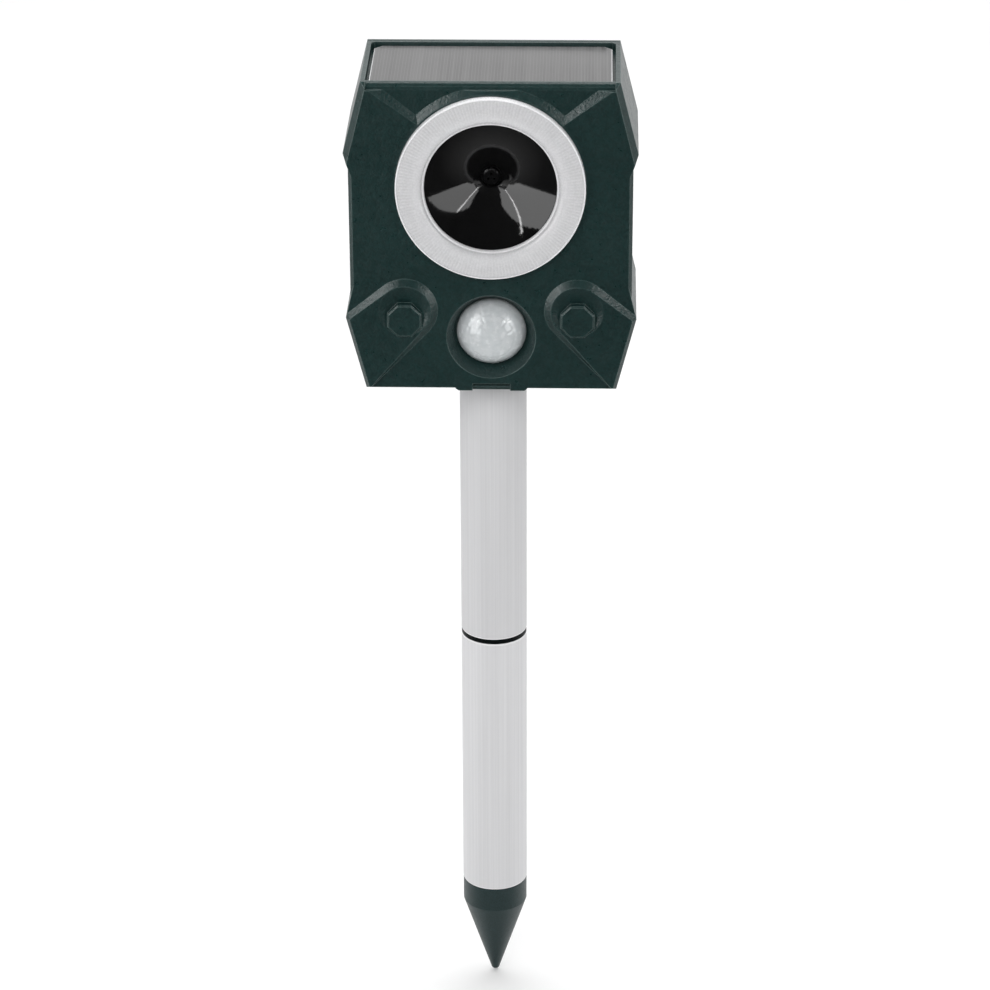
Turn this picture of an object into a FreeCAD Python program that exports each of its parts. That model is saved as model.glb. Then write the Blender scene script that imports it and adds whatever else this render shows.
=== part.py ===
import FreeCAD, Part
import os
import math

# Solar ultrasonic pest repeller on a ground stake.
# Millimetres, +Z up, front face towards -Y.
# Origin: on the tube axis, where the ground spike's shoulder meets the lower tube.

V = FreeCAD.Vector
doc = FreeCAD.newDocument("PestRepeller")
sheet = doc.addObject("Spreadsheet::Sheet", "Params")
used = {}
parts = []


class Num:
    """A value together with the sheet expression that gives it."""

    def __init__(self, v, t):
        self.v = v
        self.t = t

    def __add__(self, o):
        o = num(o)
        return Num(self.v + o.v, "(%s + %s)" % (self.t, o.t))

    def __sub__(self, o):
        o = num(o)
        return Num(self.v - o.v, "(%s - %s)" % (self.t, o.t))

    def __mul__(self, o):
        o = num(o)
        return Num(self.v * o.v, "(%s * %s)" % (self.t, o.t))

    def __truediv__(self, o):
        o = num(o)
        return Num(self.v / o.v, "(%s / %s)" % (self.t, o.t))

    def __neg__(self):
        return Num(-self.v, "(-1 * %s)" % self.t)

    def __radd__(self, o):
        return num(o) + self

    def __rsub__(self, o):
        return num(o) - self

    def __rmul__(self, o):
        return num(o) * self


def num(x):
    return x if isinstance(x, Num) else Num(float(x), repr(float(x)))


def P(name, value):
    """Put one driving dimension in the sheet and return it."""
    n = len(used) + 1
    sheet.set("A%d" % n, name)
    sheet.set("B%d" % n, repr(float(value)))
    sheet.setAlias("B%d" % n, name)
    used[name] = float(value)
    return Num(float(value), "Params." + name)


def cell(name, x):
    """A plain number gets a cell of its own; an expression is kept."""
    return x if isinstance(x, Num) else P(name, x)


# ---------------------------------------------------------------- dimensions
head_top = P("head_top", 335.8)
z_ushoulder = P("z_upper_shoulder", 308.8)
z_unotch = P("z_upper_notch", 303.8)
z_lwaist = P("z_lower_waist", 254.0)
z_lshoulder = P("z_lower_shoulder", 246.4)
head_bottom = P("head_bottom", 219.0)
hw_top = P("hw_top", 46.2)
hw_ushoulder = P("hw_upper_shoulder", 52.9)
hw_unotch = P("hw_upper_notch", 51.1)
hw_lwaist = P("hw_lower_waist", 51.0)
hw_lshoulder = P("hw_lower_shoulder", 52.8)
hw_bottom = P("hw_bottom", 45.7)
front_y = P("front_y", -24.0)
shell_back = P("shell_back", 24.2)
cover_in = P("cover_inner_y", 24.8)
back_y = P("back_y", 27.3)
wall = P("wall", 2.2)
edge_big = P("edge_chamfer_upper", 2.1)
edge_small = P("edge_chamfer_waist", 1.2)
cavity_top = P("cavity_top", 330.6)
cavity_front_hi = P("cavity_front_upper", -19.8)
cavity_front = P("cavity_front", -21.8)
cavity_split = P("cavity_split", 318.0)

recess_z = P("panel_recess_floor", 332.6)
recess_hw = P("panel_recess_hw", 44.6)
recess_y0 = P("panel_recess_front", -20.5)
recess_y1 = P("panel_recess_back", 23.2)

ring_z = P("ring_z", 296.8)
ring_r = P("ring_r", 34.2)
ring_front = P("ring_front_y", -27.0)
horn_r = P("horn_mouth_r", 23.7)
pir_z = P("pir_z", 239.1)

tube_r = P("tube_r", 12.5)
tube_ri = P("tube_bore_r", 11.3)
low_len = P("lower_tube_len", 107.86)
up_z0 = P("upper_tube_start", 109.7)
up_z1 = P("upper_tube_end", 215.4)

neck_hw = P("neck_half_width", 7.5)
neck_fit = P("neck_clearance", 0.06)
neck_top = P("neck_top", 244.0)

boss_x = P("boss_x", 31.4)
boss_z = P("boss_arc_z", 249.5)
boss_cz = P("boss_z", 246.0)
boss_front = P("boss_front_y", -26.5)
plateau_h = P("plateau_height", 1.7)
post_x = P("horn_post_offset", 27.0)
bpost_x = P("board_post_x", 36.0)
bpost_z0 = P("board_post_low", 276.0)
bpost_z1 = P("board_post_high", 318.0)
hs_x = P("cover_screw_x", 42.6)
hs_z0 = P("cover_screw_low", 236.0)
hs_z1 = P("cover_screw_high", 321.0)
knob_x = P("knob_x", 20.0)
knob_z = P("knob_z", 300.0)
usb_z = P("usb_z", 233.4)


# ------------------------------------------------------------------- helpers
def refresh(*objs):
    """Bring the sheet and the named objects up to date."""
    sheet.recompute()
    for o in objs:
        o.recompute()


def bind(o, prop, x):
    o.setExpression(prop, x.t)


def place(o, pos, rot=None, tag=None):
    tag = tag or o.Name
    pos = [cell("%s_p%s" % (tag, a), p) for a, p in zip("xyz", pos)]
    o.Placement = FreeCAD.Placement(V(*[p.v for p in pos]), rot or FreeCAD.Rotation())
    for a, p in zip("xyz", pos):
        bind(o, "Placement.Base." + a, p)
    return o


def keep(o, label):
    o.Label = label
    parts.append((o, label))
    return o


def box(name, lo, hi):
    o = doc.addObject("Part::Box", name)
    lo = [cell("%s_lo%s" % (name, a), p) for a, p in zip("xyz", lo)]
    hi = [cell("%s_hi%s" % (name, a), p) for a, p in zip("xyz", hi)]
    for prop, a, b in zip(("Length", "Width", "Height"), lo, hi):
        setattr(o, prop, b.v - a.v)
        bind(o, prop, b - a)
    return place(o, lo)


ROT = {"z": FreeCAD.Rotation(),
       "y": FreeCAD.Rotation(V(1, 0, 0), -90),
       "x": FreeCAD.Rotation(V(0, 1, 0), 90)}


def cyl(name, r, length, pos, axis="y"):
    o = doc.addObject("Part::Cylinder", name)
    r = cell(name + "_rad", r)
    length = cell(name + "_len", length)
    o.Radius = r.v
    o.Height = length.v
    bind(o, "Radius", r)
    bind(o, "Height", length)
    return place(o, pos, ROT[axis])


def cone(name, r0, r1, length, pos, rot):
    o = doc.addObject("Part::Cone", name)
    r0 = cell(name + "_rada", r0)
    r1 = cell(name + "_radb", r1)
    length = cell(name + "_len", length)
    o.Radius1, o.Radius2, o.Height = r0.v, r1.v, length.v
    bind(o, "Radius1", r0)
    bind(o, "Radius2", r1)
    bind(o, "Height", length)
    return place(o, pos, rot)


def fuse(name, shapes):
    o = doc.addObject("Part::MultiFuse", name)
    o.Shapes = shapes
    return o


def cut(name, base, tools):
    if len(tools) == 1:
        tool = tools[0]
    else:
        tool = fuse(name + "_tools", tools)
    o = doc.addObject("Part::Cut", name)
    o.Base = base
    o.Tool = tool
    return o


def group(name, shapes):
    """Identical pieces that share a node, as separate solids."""
    o = doc.addObject("Part::Compound", name)
    o.Links = shapes
    return o


def body(label, pos=(0, 0, 0)):
    b = doc.addObject("PartDesign::Body", label)
    place(b, pos)
    return b


ROLE = {"xy": "XY_Plane", "xz": "XZ_Plane", "yz": "YZ_Plane"}


def sketch(b, name, plane, at=0.0):
    sk = b.newObject("Sketcher::SketchObject", name)
    pl = [f for f in b.Origin.OriginFeatures if f.Role == ROLE[plane]][0]
    sk.AttachmentSupport = [(pl, "")]
    sk.MapMode = "FlatFace"
    at = cell(name + "_at", at)
    off = -at if plane == "xz" else at
    sk.AttachmentOffset = FreeCAD.Placement(V(0, 0, off.v), FreeCAD.Rotation())
    bind(sk, "AttachmentOffset.Base.z", off)
    return sk


def dim(sk, kind, g, pos, x, tag):
    i = sk.addConstraint(Sketcher.Constraint(kind, -1, 1, g, pos, x.v))
    sk.renameConstraint(i, tag)
    bind(sk, "Constraints." + tag, x)


def arc_by_points(a, b, c):
    """The counter-clockwise arc through three points, and which way a to c runs."""
    ax, ay, bx, by, cx, cy = a[0].v, a[1].v, b[0].v, b[1].v, c[0].v, c[1].v
    d = 2 * (ax * (by - cy) + bx * (cy - ay) + cx * (ay - by))
    ux = ((ax * ax + ay * ay) * (by - cy) + (bx * bx + by * by) * (cy - ay) + (cx * cx + cy * cy) * (ay - by)) / d
    uy = ((ax * ax + ay * ay) * (cx - bx) + (bx * bx + by * by) * (ax - cx) + (cx * cx + cy * cy) * (bx - ax)) / d
    r = math.hypot(ax - ux, ay - uy)
    ccw = (bx - ax) * (cy - ay) - (by - ay) * (cx - ax) > 0
    a0 = math.atan2(ay - uy, ax - ux)
    a1 = math.atan2(cy - uy, cx - ux)
    if not ccw:
        a0, a1 = a1, a0
    if a1 < a0:
        a1 += 2 * math.pi
    return r, ccw, Part.ArcOfCircle(Part.Circle(V(ux, uy, 0), V(0, 0, 1), r), a0, a1)


def loop(sk, pts):
    """A closed loop of straight lines; a three-part entry (u, v, 'c') is a control
    point that turns its corner into an arc through it."""
    base = len([1 for g in sk.Geometry])
    nm = sk.Name
    P2 = []
    for i, p in enumerate(pts):
        P2.append((cell("%s_u%d" % (nm, base + i), p[0]), cell("%s_v%d" % (nm, base + i), p[1]), len(p) > 2))
    corners = [p for p in P2 if not p[2]]
    n = len(P2)
    gid = []
    k = 0
    while k < n:
        a = P2[k]
        b = P2[(k + 1) % n]
        if b[2]:
            c = P2[(k + 2) % n]
            r, ccw, arc = arc_by_points(a, b, c)
            g = sk.addGeometry(arc, False)
            gid.append((g, 1 if ccw else 2, 2 if ccw else 1, a, r))
            k += 2
        else:
            g = sk.addGeometry(Part.LineSegment(V(a[0].v, a[1].v, 0), V(b[0].v, b[1].v, 0)), False)
            gid.append((g, 1, 2, a, None))
            k += 1
    for j, (g, s, e, a, r) in enumerate(gid):
        g2, s2, e2, a2, r2 = gid[(j + 1) % len(gid)]
        sk.addConstraint(Sketcher.Constraint("Coincident", g, e, g2, s2))
    for j, (g, s, e, a, r) in enumerate(gid):
        dim(sk, "DistanceX", g, s, a[0], "%s_x%d" % (nm, g))
        dim(sk, "DistanceY", g, s, a[1], "%s_y%d" % (nm, g))
        if r is not None:
            i = sk.addConstraint(Sketcher.Constraint("Radius", g, r))
            sk.renameConstraint(i, "%s_r%d" % (nm, g))
            bind(sk, "Constraints.%s_r%d" % (nm, g), P("%s_arc%d" % (nm, g), r))
    return sk


def circle(sk, u, v, r):
    g = sk.addGeometry(Part.Circle(V(num(u).v, num(v).v, 0), V(0, 0, 1), num(r).v), False)
    nm = sk.Name
    u = cell("%s_cu%d" % (nm, g), u)
    v = cell("%s_cv%d" % (nm, g), v)
    r = cell("%s_cr%d" % (nm, g), r)
    dim(sk, "DistanceX", g, 3, u, "%s_cx%d" % (nm, g))
    dim(sk, "DistanceY", g, 3, v, "%s_cy%d" % (nm, g))
    i = sk.addConstraint(Sketcher.Constraint("Radius", g, r.v))
    sk.renameConstraint(i, "%s_rr%d" % (nm, g))
    bind(sk, "Constraints.%s_rr%d" % (nm, g), r)


def pad(b, sk, length, back=False, mid=False):
    f = b.newObject("PartDesign::Pad", sk.Name + "_pad")
    f.Profile = sk
    length = cell(sk.Name + "_depth", length)
    f.Length = length.v
    bind(f, "Length", length)
    f.Reversed = back
    if mid:
        f.Midplane = True
    refresh(sk, f)
    return f


def pocket(b, sk, length, back=False, mid=False):
    before = b.Tip.Shape.Volume
    f = b.newObject("PartDesign::Pocket", sk.Name + "_pocket")
    f.Profile = sk
    length = cell(sk.Name + "_depth", length)
    f.Length = length.v
    bind(f, "Length", length)
    f.Reversed = back
    if mid:
        f.Midplane = True
    refresh(sk, f)
    if not f.Shape.Volume < before - 0.01:
        raise RuntimeError("pocket %s cut nothing" % sk.Name)
    return f


def revolve(b, sk, axis="V_Axis"):
    f = b.newObject("PartDesign::Revolution", sk.Name + "_rev")
    f.Profile = sk
    f.ReferenceAxis = (sk, [axis])
    f.Angle = 360
    refresh(sk, f)
    return f


def turned(label, pts, pos, plane="xy"):
    """A piece turned about its own Y axis (plane xy) or Z axis (plane xz)."""
    b = body(label, pos)
    sk = loop(sketch(b, label + "_profile", plane), pts)
    revolve(b, sk)
    return b


def chamfer(b, size, pick, tag):
    """Chamfer the edges of the body's present shape that pick(edge) accepts."""
    base = b.Tip
    names = ["Edge%d" % (i + 1) for i, ed in enumerate(base.Shape.Edges) if pick(ed)]
    f = b.newObject("PartDesign::Chamfer", tag)
    f.Base = (base, names)
    size = cell(tag + "_size", size)
    f.Size = size.v
    bind(f, "Size", size)
    refresh(f)
    return f


import Sketcher

doc.recompute()

# outline of the head, right side then left, as (x, z)
half = [(hw_top, head_top), (hw_ushoulder, z_ushoulder), (hw_unotch, z_unotch),
        (hw_lwaist, z_lwaist), (hw_lshoulder, z_lshoulder), (hw_bottom, head_bottom)]
outline = half + [(-x, z) for x, z in reversed(half)]


def inset_outline(d, top=None, bottom=None):
    """The outline drawn in by d at the sides, with its own top and bottom."""
    top = num(head_top - d) if top is None else num(top)
    bottom = num(head_bottom + d) if bottom is None else num(bottom)
    # x on the slanted side walls at the new top and bottom
    xt = hw_top + (hw_ushoulder - hw_top) * ((head_top - top) / (head_top - z_ushoulder)) - d
    xb = hw_bottom + (hw_lshoulder - hw_bottom) * ((bottom - head_bottom) / (z_lshoulder - head_bottom)) - d
    h = [(xt, top), (hw_ushoulder - d, z_ushoulder), (hw_unotch - d, z_unotch),
         (hw_lwaist - d, z_lwaist), (hw_lshoulder - d, z_lshoulder), (xb, bottom)]
    return h + [(-x, z) for x, z in reversed(h)]


# ============================================================== ground stake
# spike: shoulder flush with the tube, cone, rounded tip, plug pressed in the tube
spike = body("spike")
sk = loop(sketch(spike, "spike_profile", "xz"),
          [(0, -43.2), (1.15, -42.75, "c"), (1.7, -41.7), (12.42, -9.6), (12.42, -0.02), (11.28, -0.02), (11.28, 22.0),
           (10.4, 23.2), (8.6, 23.2), (8.6, 2.0), (0, 2.0)])
revolve(spike, sk)
keep(spike, "spike")

lower_tube = body("lower_tube")
sk = sketch(lower_tube, "lower_tube_section", "xy")
circle(sk, 0, 0, tube_r)
circle(sk, 0, 0, tube_ri)
pad(lower_tube, sk, low_len)
keep(lower_tube, "lower_tube")

# coupler: plain plug down into the lower tube, spigot up into the upper tube
coupler = turned("coupler", [(8.6, 84.0), (10.7, 84.0), (11.24, 85.2), (11.24, 108.0), (12.38, 108.0), (12.38, 109.56),
                             (11.24, 109.56), (11.24, 133.4), (10.7, 134.6), (8.6, 134.6)], (0, 0, 0), "xz")
keep(coupler, "coupler")

upper_tube = body("upper_tube")
sk = sketch(upper_tube, "upper_tube_section", "xy", up_z0)
circle(sk, 0, 0, tube_r)
circle(sk, 0, 0, tube_ri)
pad(upper_tube, sk, up_z1 - up_z0)
keep(upper_tube, "upper_tube")

# adapter: plug pressed in the upper tube, flange, and a square neck that enters the head
adapter = body("stake_adapter")
sk = loop(sketch(adapter, "adapter_profile", "xz"),
          [(0, 213.0), (8.4, 213.0), (8.4, 190.0), (10.6, 190.0), (11.28, 191.2), (11.28, 215.42), (12.38, 215.42),
           (12.38, 218.2), (11.9, 218.7), (0, 218.7)])
revolve(adapter, sk)
sk = loop(sketch(adapter, "neck_section", "xy", 218.6),
          [(neck_hw - 1.5, neck_hw), (neck_hw, neck_hw - 1.5), (neck_hw, -neck_hw + 1.5), (neck_hw - 1.5, -neck_hw),
           (-neck_hw + 1.5, -neck_hw), (-neck_hw, -neck_hw + 1.5), (-neck_hw, neck_hw - 1.5), (-neck_hw + 1.5, neck_hw)])
pad(adapter, sk, neck_top - 218.6)
chamfer(adapter, 1.2, lambda ed: min(v.Z for v in ed.Vertexes) > neck_top.v - 1e-4, "neck_lead_in")
keep(adapter, "stake_adapter")

# =============================================================== front shell
block = body("front_shell_block")
sk = loop(sketch(block, "shell_outline", "xz", shell_back), outline)
pad(block, sk, shell_back - front_y)


def on_front(ed):
    return max(v.Y for v in ed.Vertexes) < front_y.v + 1e-4


def seg(ed, a, b):
    """True where the front edge runs between heights a and b, sides only."""
    zs = sorted(v.Z for v in ed.Vertexes)
    return on_front(ed) and abs(zs[0] - a) < 1e-3 and abs(zs[-1] - b) < 1e-3


chamfer(block, edge_big, lambda ed: seg(ed, z_ushoulder.v, head_top.v) or seg(ed, head_top.v, head_top.v), "edge_upper")
chamfer(block, edge_small, lambda ed: on_front(ed) and seg(ed, z_lwaist.v, z_unotch.v), "edge_waist")
sk = loop(sketch(block, "cavity_outline", "xz", shell_back), inset_outline(2.3, cavity_top, head_bottom + wall))
pocket(block, sk, shell_back - cavity_front_hi, back=True)
lowin = inset_outline(2.3, cavity_top, head_bottom + wall)
xs = hw_top + (hw_ushoulder - hw_top) * ((head_top - cavity_split) / (head_top - z_ushoulder)) - 2.3
lowin = [(xs, cavity_split)] + lowin[1:-1] + [(-xs, cavity_split)]
sk = loop(sketch(block, "cavity_lower", "xz", shell_back), lowin)
pocket(block, sk, shell_back - cavity_front, back=True)
sk = loop(sketch(block, "panel_recess", "xy", head_top),
          [(recess_hw, recess_y1 - 1.2), (recess_hw - 1.2, recess_y1), (-recess_hw + 1.2, recess_y1), (-recess_hw, recess_y1 - 1.2),
           (-recess_hw, recess_y0), (recess_hw, recess_y0)])
pocket(block, sk, head_top - recess_z)

# raised corner plateaus: bevelled armour round each lower corner, concentric with its bolt-head boss
pc = (boss_x.v, boss_z.v)


def tangent(px, pz, cx, cz, r, side):
    """Tangent point on a circle from an outside point; side picks which one."""
    dx, dz = px - cx, pz - cz
    d = math.hypot(dx, dz)
    a = math.atan2(dz, dx)
    b = math.acos(r / d)
    t = a + side * b
    return (cx + r * math.cos(t), cz + r * math.sin(t))


def plateau_wire(r, p1, p4, p5, p0, y, sgn):
    """Closed outline through the two tangents and the arc about the boss centre."""
    t1 = tangent(p1[0], p1[1], pc[0], pc[1], r, 1)
    t2 = tangent(p4[0], p4[1], pc[0], pc[1], r, -1)
    a1 = math.atan2(t1[1] - pc[1], t1[0] - pc[0])
    a2 = math.atan2(t2[1] - pc[1], t2[0] - pc[0])
    if a2 < a1:
        a2 += 2 * math.pi
    am = (a1 + a2) / 2
    tm = (pc[0] + r * math.cos(am), pc[1] + r * math.sin(am))

    def q(p):
        return V(sgn * p[0], y, p[1])
    return Part.Wire([Part.LineSegment(q(p1), q(t1)).toShape(), Part.Arc(q(t1), q(tm), q(t2)).toShape(),
                      Part.LineSegment(q(t2), q(p4)).toShape(), Part.LineSegment(q(p4), q(p5)).toShape(),
                      Part.LineSegment(q(p5), q(p0)).toShape(), Part.LineSegment(q(p0), q(p1)).toShape()])


plateaus = []
for sgn, side in ((1, "right"), (-1, "left")):
    yb = front_y.v + 0.02
    w0 = plateau_wire(12.1, (52.47, 247.8), (43.9, 219.0), (45.7, 219.0), (52.8, 246.4), yb, sgn)
    w1 = plateau_wire(9.7, (51.0, 246.7), (43.9, 219.75), (44.5, 219.75), (51.35, 246.05), yb - plateau_h.v, sgn)
    f = doc.addObject("Part::Feature", "plateau_" + side)
    f.Shape = Part.makeLoft([w0, w1], True, True)
    plateaus.append(f)

# recessed field between the upper corners: floor set back, wide bevel to the flanks and to the ring's collar
field_d = P("field_depth", 1.4)


def field_wire(x0, z0, xi, zi, r, y):
    za = ring_z.v + math.sqrt(r * r - xi * xi)
    a = math.atan2(za - ring_z.v, xi)

    def q(x, z):
        return V(x, y, z)
    return Part.Wire([Part.LineSegment(q(x0, z0), q(xi, za)).toShape(),
                      Part.Arc(q(xi, za), q(0, ring_z.v + r), q(-xi, za)).toShape(),
                      Part.LineSegment(q(-xi, za), q(-x0, z0)).toShape(),
                      Part.LineSegment(q(-x0, z0), q(x0, z0)).toShape()])


field = doc.addObject("Part::Feature", "upper_field")
field.Shape = Part.makeLoft([field_wire(45.8, 334.6, 25.9, 0, 34.9, front_y.v - 0.02),
                             field_wire(39.0, 333.7, 26.5, 0, 37.6, front_y.v + field_d.v)], True, True)
# the field's top band rolls back to the rim in short facets
band = body("upper_band")
sk = loop(sketch(band, "band_profile", "yz"),
          [(-26.0, 333.0), (front_y + field_d, 333.0), (-22.35, 334.15), (-21.7, 335.1), (-20.9, 335.6), (-20.5, 335.7),
           (-20.5, 336.4), (-26.0, 336.4)])
pad(band, sk, 2 * 44.5, mid=True)

ROT_IN = FreeCAD.Rotation(V(1, 0, 0), -90)    # axis towards +Y
pieces = [block] + plateaus
cuts = [field, band]
# sensor dish: bucket behind the face, then the flared dish and the lens hole
pieces.append(cone("pir_bucket", 18.4, 15.2, 7.4, (0, -23.0, pir_z), ROT_IN))
cuts.append(cone("pir_dish", 16.25, 12.95, 6.5, (0, -24.1, pir_z), ROT_IN))
cuts.append(cyl("pir_hole", 12.8, 6.0, (0, -18.0, pir_z)))
# light ring seat and through hole
cuts.append(cyl("ring_seat", ring_r + 0.12, 3.6, (0, -26.0, ring_z)))
cuts.append(cyl("ring_hole", 33.3, 10.0, (0, -25.0, ring_z)))
# posts for the horn, the main board and the rear cover
for i, (sx, szn) in enumerate(((1, 1), (1, -1), (-1, 1), (-1, -1))):
    pieces.append(cyl("horn_post%d" % i, 3.2, 6.4, (post_x * sx, -22.6, ring_z + post_x * szn)))
    cuts.append(cyl("horn_pilot%d" % i, 1.1, 5.6, (post_x * sx, -21.4, ring_z + post_x * szn)))
    zz = bpost_z1 if szn > 0 else bpost_z0
    pieces.append(cyl("board_post%d" % i, 2.6, 23.6, (bpost_x * sx, -22.6, zz)))
    cuts.append(cyl("board_pilot%d" % i, 1.0, 8.4, (bpost_x * sx, -7.0, zz)))
    zz = hs_z1 if szn > 0 else hs_z0
    pieces.append(cyl("cover_post%d" % i, 3.5, 46.8, (hs_x * sx, -22.6, zz)))
    cuts.append(cyl("cover_pilot%d" % i, 1.2, 15.0, (hs_x * sx, 9.6, zz)))
# square socket for the adapter's neck, closed at its top
pieces.append(box("socket_out", (-9.7, -9.7, head_bottom + 0.5), (9.7, 9.7, neck_top + 2.4)))
socket = body("socket_in")
q = neck_hw + neck_fit
sk = loop(sketch(socket, "socket_section", "xy", 217.0),
          [(q - 1.5, q), (q, q - 1.5), (q, -q + 1.5), (q - 1.5, -q), (-q + 1.5, -q), (-q, -q + 1.5), (-q, q - 1.5), (-q + 1.5, q)])
pad(socket, sk, neck_top + 0.8 - 217.0)
cuts.append(socket)
# lip under the face, with its moulded notch and ledge
lip = body("front_lip")
sk = loop(sketch(lip, "lip_outline", "xz", -20.4),
          [(13.4, 219.3), (12.9, 218.5), (12.0, 217.9), (-12.0, 217.9), (-12.9, 218.5), (-13.4, 219.3)])
pad(lip, sk, 3.6)
pieces.append(lip)
# cable entry from the solar panel
cuts.append(cyl("panel_wire_hole", 1.6, 8.0, (30.0, 8.0, 328.0), "z"))
cuts.append(box("lip_notch", (-6.9, -25.0, 217.0), (6.9, -22.7, 220.6)))

# dished wells: each slopes in from the plateau's arc to its bolt-head boss, which sits low in the
# arc, so the dish is deepest above the boss and runs out below it
well_r = P("well_rim_r", 9.5)
well_ri = P("well_inner_r", 5.6)
well_slope = P("well_slope", 0.30)
bosses = []
for sgn, side in ((1, "right"), (-1, "left")):
    yp = front_y.v + 0.02 - plateau_h.v
    off = boss_z.v - boss_cz.v
    gap = well_r.v - well_ri.v
    def dish(u, w):
        """A point of the dish's floor ring, whose depth grows with its distance from the arc."""
        return V(boss_x.v * sgn + u, yp + well_slope.v * (gap + off * w / well_ri.v), boss_cz.v + w)
    turn = [math.radians(15 * i) for i in range(24)]
    rim_c = Part.BSplineCurve()
    rim_c.interpolate(Points=[V(boss_x.v * sgn + well_r.v * math.cos(t), yp - 0.04, boss_z.v + well_r.v * math.sin(t)) for t in turn],
                      PeriodicFlag=True)
    floor_c = Part.BSplineCurve()
    floor_c.interpolate(Points=[dish(well_ri.v * math.cos(t), well_ri.v * math.sin(t)) for t in turn], PeriodicFlag=True)
    f = doc.addObject("Part::Feature", "well_" + side)
    f.Shape = Part.makeLoft([Part.Wire([rim_c.toShape()]), Part.Wire([floor_c.toShape()])], True, True)
    cuts.append(f)
    ob = body("boss_" + side)
    sk = sketch(ob, "boss_%s_oct" % side, "xz", -22.9)
    hwf = 6.2
    k = hwf * math.tan(math.radians(22.5))
    loop(sk, [(boss_x * sgn + u, boss_cz + w) for u, w in
              ((hwf, -k), (hwf, k), (k, hwf), (-k, hwf), (-hwf, k), (-hwf, -k), (-k, -hwf), (k, -hwf))])
    pad(ob, sk, -22.9 - boss_front)
    chamfer(ob, 0.55, lambda ed: max(v.Y for v in ed.Vertexes) < boss_front.v + 1e-3, "boss_%s_rim" % side)
    bosses.append(ob)
# ledge inside the notch
ledge = box("notch_ledge", (-6.7, -23.4, 218.9), (6.7, -22.4, 219.5))
whole = cut("shell_cut", fuse("shell_sum", pieces), cuts)
shell = fuse("front_shell", [whole] + bosses + [ledge])
keep(shell, "front_shell")

# ================================================================ rear cover
cov = body("rear_cover_plate")
sk = loop(sketch(cov, "cover_outline", "xz", back_y), outline)
pad(cov, sk, back_y - cover_in)
chamfer(cov, 1.0, lambda ed: min(v.Y for v in ed.Vertexes) > back_y.v - 1e-4, "cover_edge")
sk = loop(sketch(cov, "cover_spigot", "xz", cover_in), inset_outline(2.55, cavity_top - 0.3, head_bottom + wall + 0.3))
loop(sk, inset_outline(4.2, cavity_top - 2.0, head_bottom + wall + 2.0))
pad(cov, sk, 2.0)
rc = [cov]
rcut = []
for i, (sx, szn) in enumerate(((1, 1), (1, -1), (-1, 1), (-1, -1))):
    zz = hs_z1 if szn > 0 else hs_z0
    rcut.append(cyl("cover_relief%d" % i, 3.9, 3.0, (hs_x * sx, 21.8, zz)))
    rcut.append(cyl("cover_hole%d" % i, 1.5, 8.0, (hs_x * sx, 21.0, zz)))
    rcut.append(cyl("cover_cbore%d" % i, 3.0, 2.0, (hs_x * sx, 26.0, zz)))
for i, sx in enumerate((1, -1)):
    rc.append(cyl("knob_collar%d" % i, 11.6, 1.2, (knob_x * sx, back_y - 0.2, knob_z)))
    rcut.append(cyl("knob_land%d" % i, 10.2, 3.0, (knob_x * sx, back_y, knob_z)))
    rcut.append(cyl("knob_bore%d" % i, 3.6, 8.0, (knob_x * sx, 21.0, knob_z)))
    rcut.append(cyl("seal_seat%d" % i, 4.7, 1.7, (knob_x * sx, cover_in - 0.1, knob_z)))
rcut.append(box("usb_window", (-5.0, 21.0, usb_z - 2.7), (5.0, 30.0, usb_z + 2.0)))
rcut.append(box("flap_land", (-9.4, 26.5, usb_z - 6.4), (9.4, 30.0, usb_z + 6.4)))
# two ears that hold the flap's hinge pin, and the shelf that carries the charge board
ear_z = usb_z + 7.3
for i, (xa, xb) in enumerate(((6.6, 8.8), (-8.8, -6.6))):
    rc.append(box("ear%d" % i, (xa, 26.9, ear_z - 1.3), (xb, 29.4, ear_z + 1.5)))
rcut.append(box("knuckle_land", (-6.4, 26.4, usb_z + 6.0), (6.4, 30.0, usb_z + 9.2)))
rcut.append(cyl("ear_bore", 0.78, 30.0, (-15.0, 28.15, ear_z), "x"))
rc.append(box("board_shelf", (-9.5, 11.2, usb_z - 5.6), (9.5, 25.2, usb_z - 3.9)))
for i, sx in enumerate((1, -1)):
    for j, sz in enumerate((1, -1)):
        rc.append(cyl("ctl_post%d%d" % (i, j), 2.2, 6.2, (sx * 31.0, 18.9, knob_z + sz * 10.0)))
        rcut.append(cyl("ctl_pilot%d%d" % (i, j), 0.9, 4.4, (sx * 31.0, 18.6, knob_z + sz * 10.0)))
rear = cut("rear_cover", fuse("cover_sum", rc), rcut)
keep(rear, "rear_cover")

seal = body("housing_seal")
sk = loop(sketch(seal, "seal_outline", "xz", cover_in - 0.02), inset_outline(0.45, head_top - 0.45, head_bottom + 0.45))
loop(sk, inset_outline(1.5, head_top - 1.5, head_bottom + 1.5))
pad(seal, sk, cover_in - shell_back - 0.04)
keep(seal, "housing_seal")

hscr = []
for i, (sx, szn) in enumerate(((1, 1), (1, -1), (-1, 1), (-1, -1))):
    zz = hs_z1 if szn > 0 else hs_z0
    b = turned("housing_screw%d" % i, [(0, 13.0), (0.6, 13.0), (1.1, 14.0), (1.1, 26.1), (2.7, 26.1), (2.7, 27.0), (2.2, 27.25),
                                       (1.0, 27.25), (0.8, 26.6), (0, 26.6)], (hs_x * sx, 0, zz))
    hscr.append(b)
keep(group("housing_screws", hscr), "housing_screws")

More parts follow.
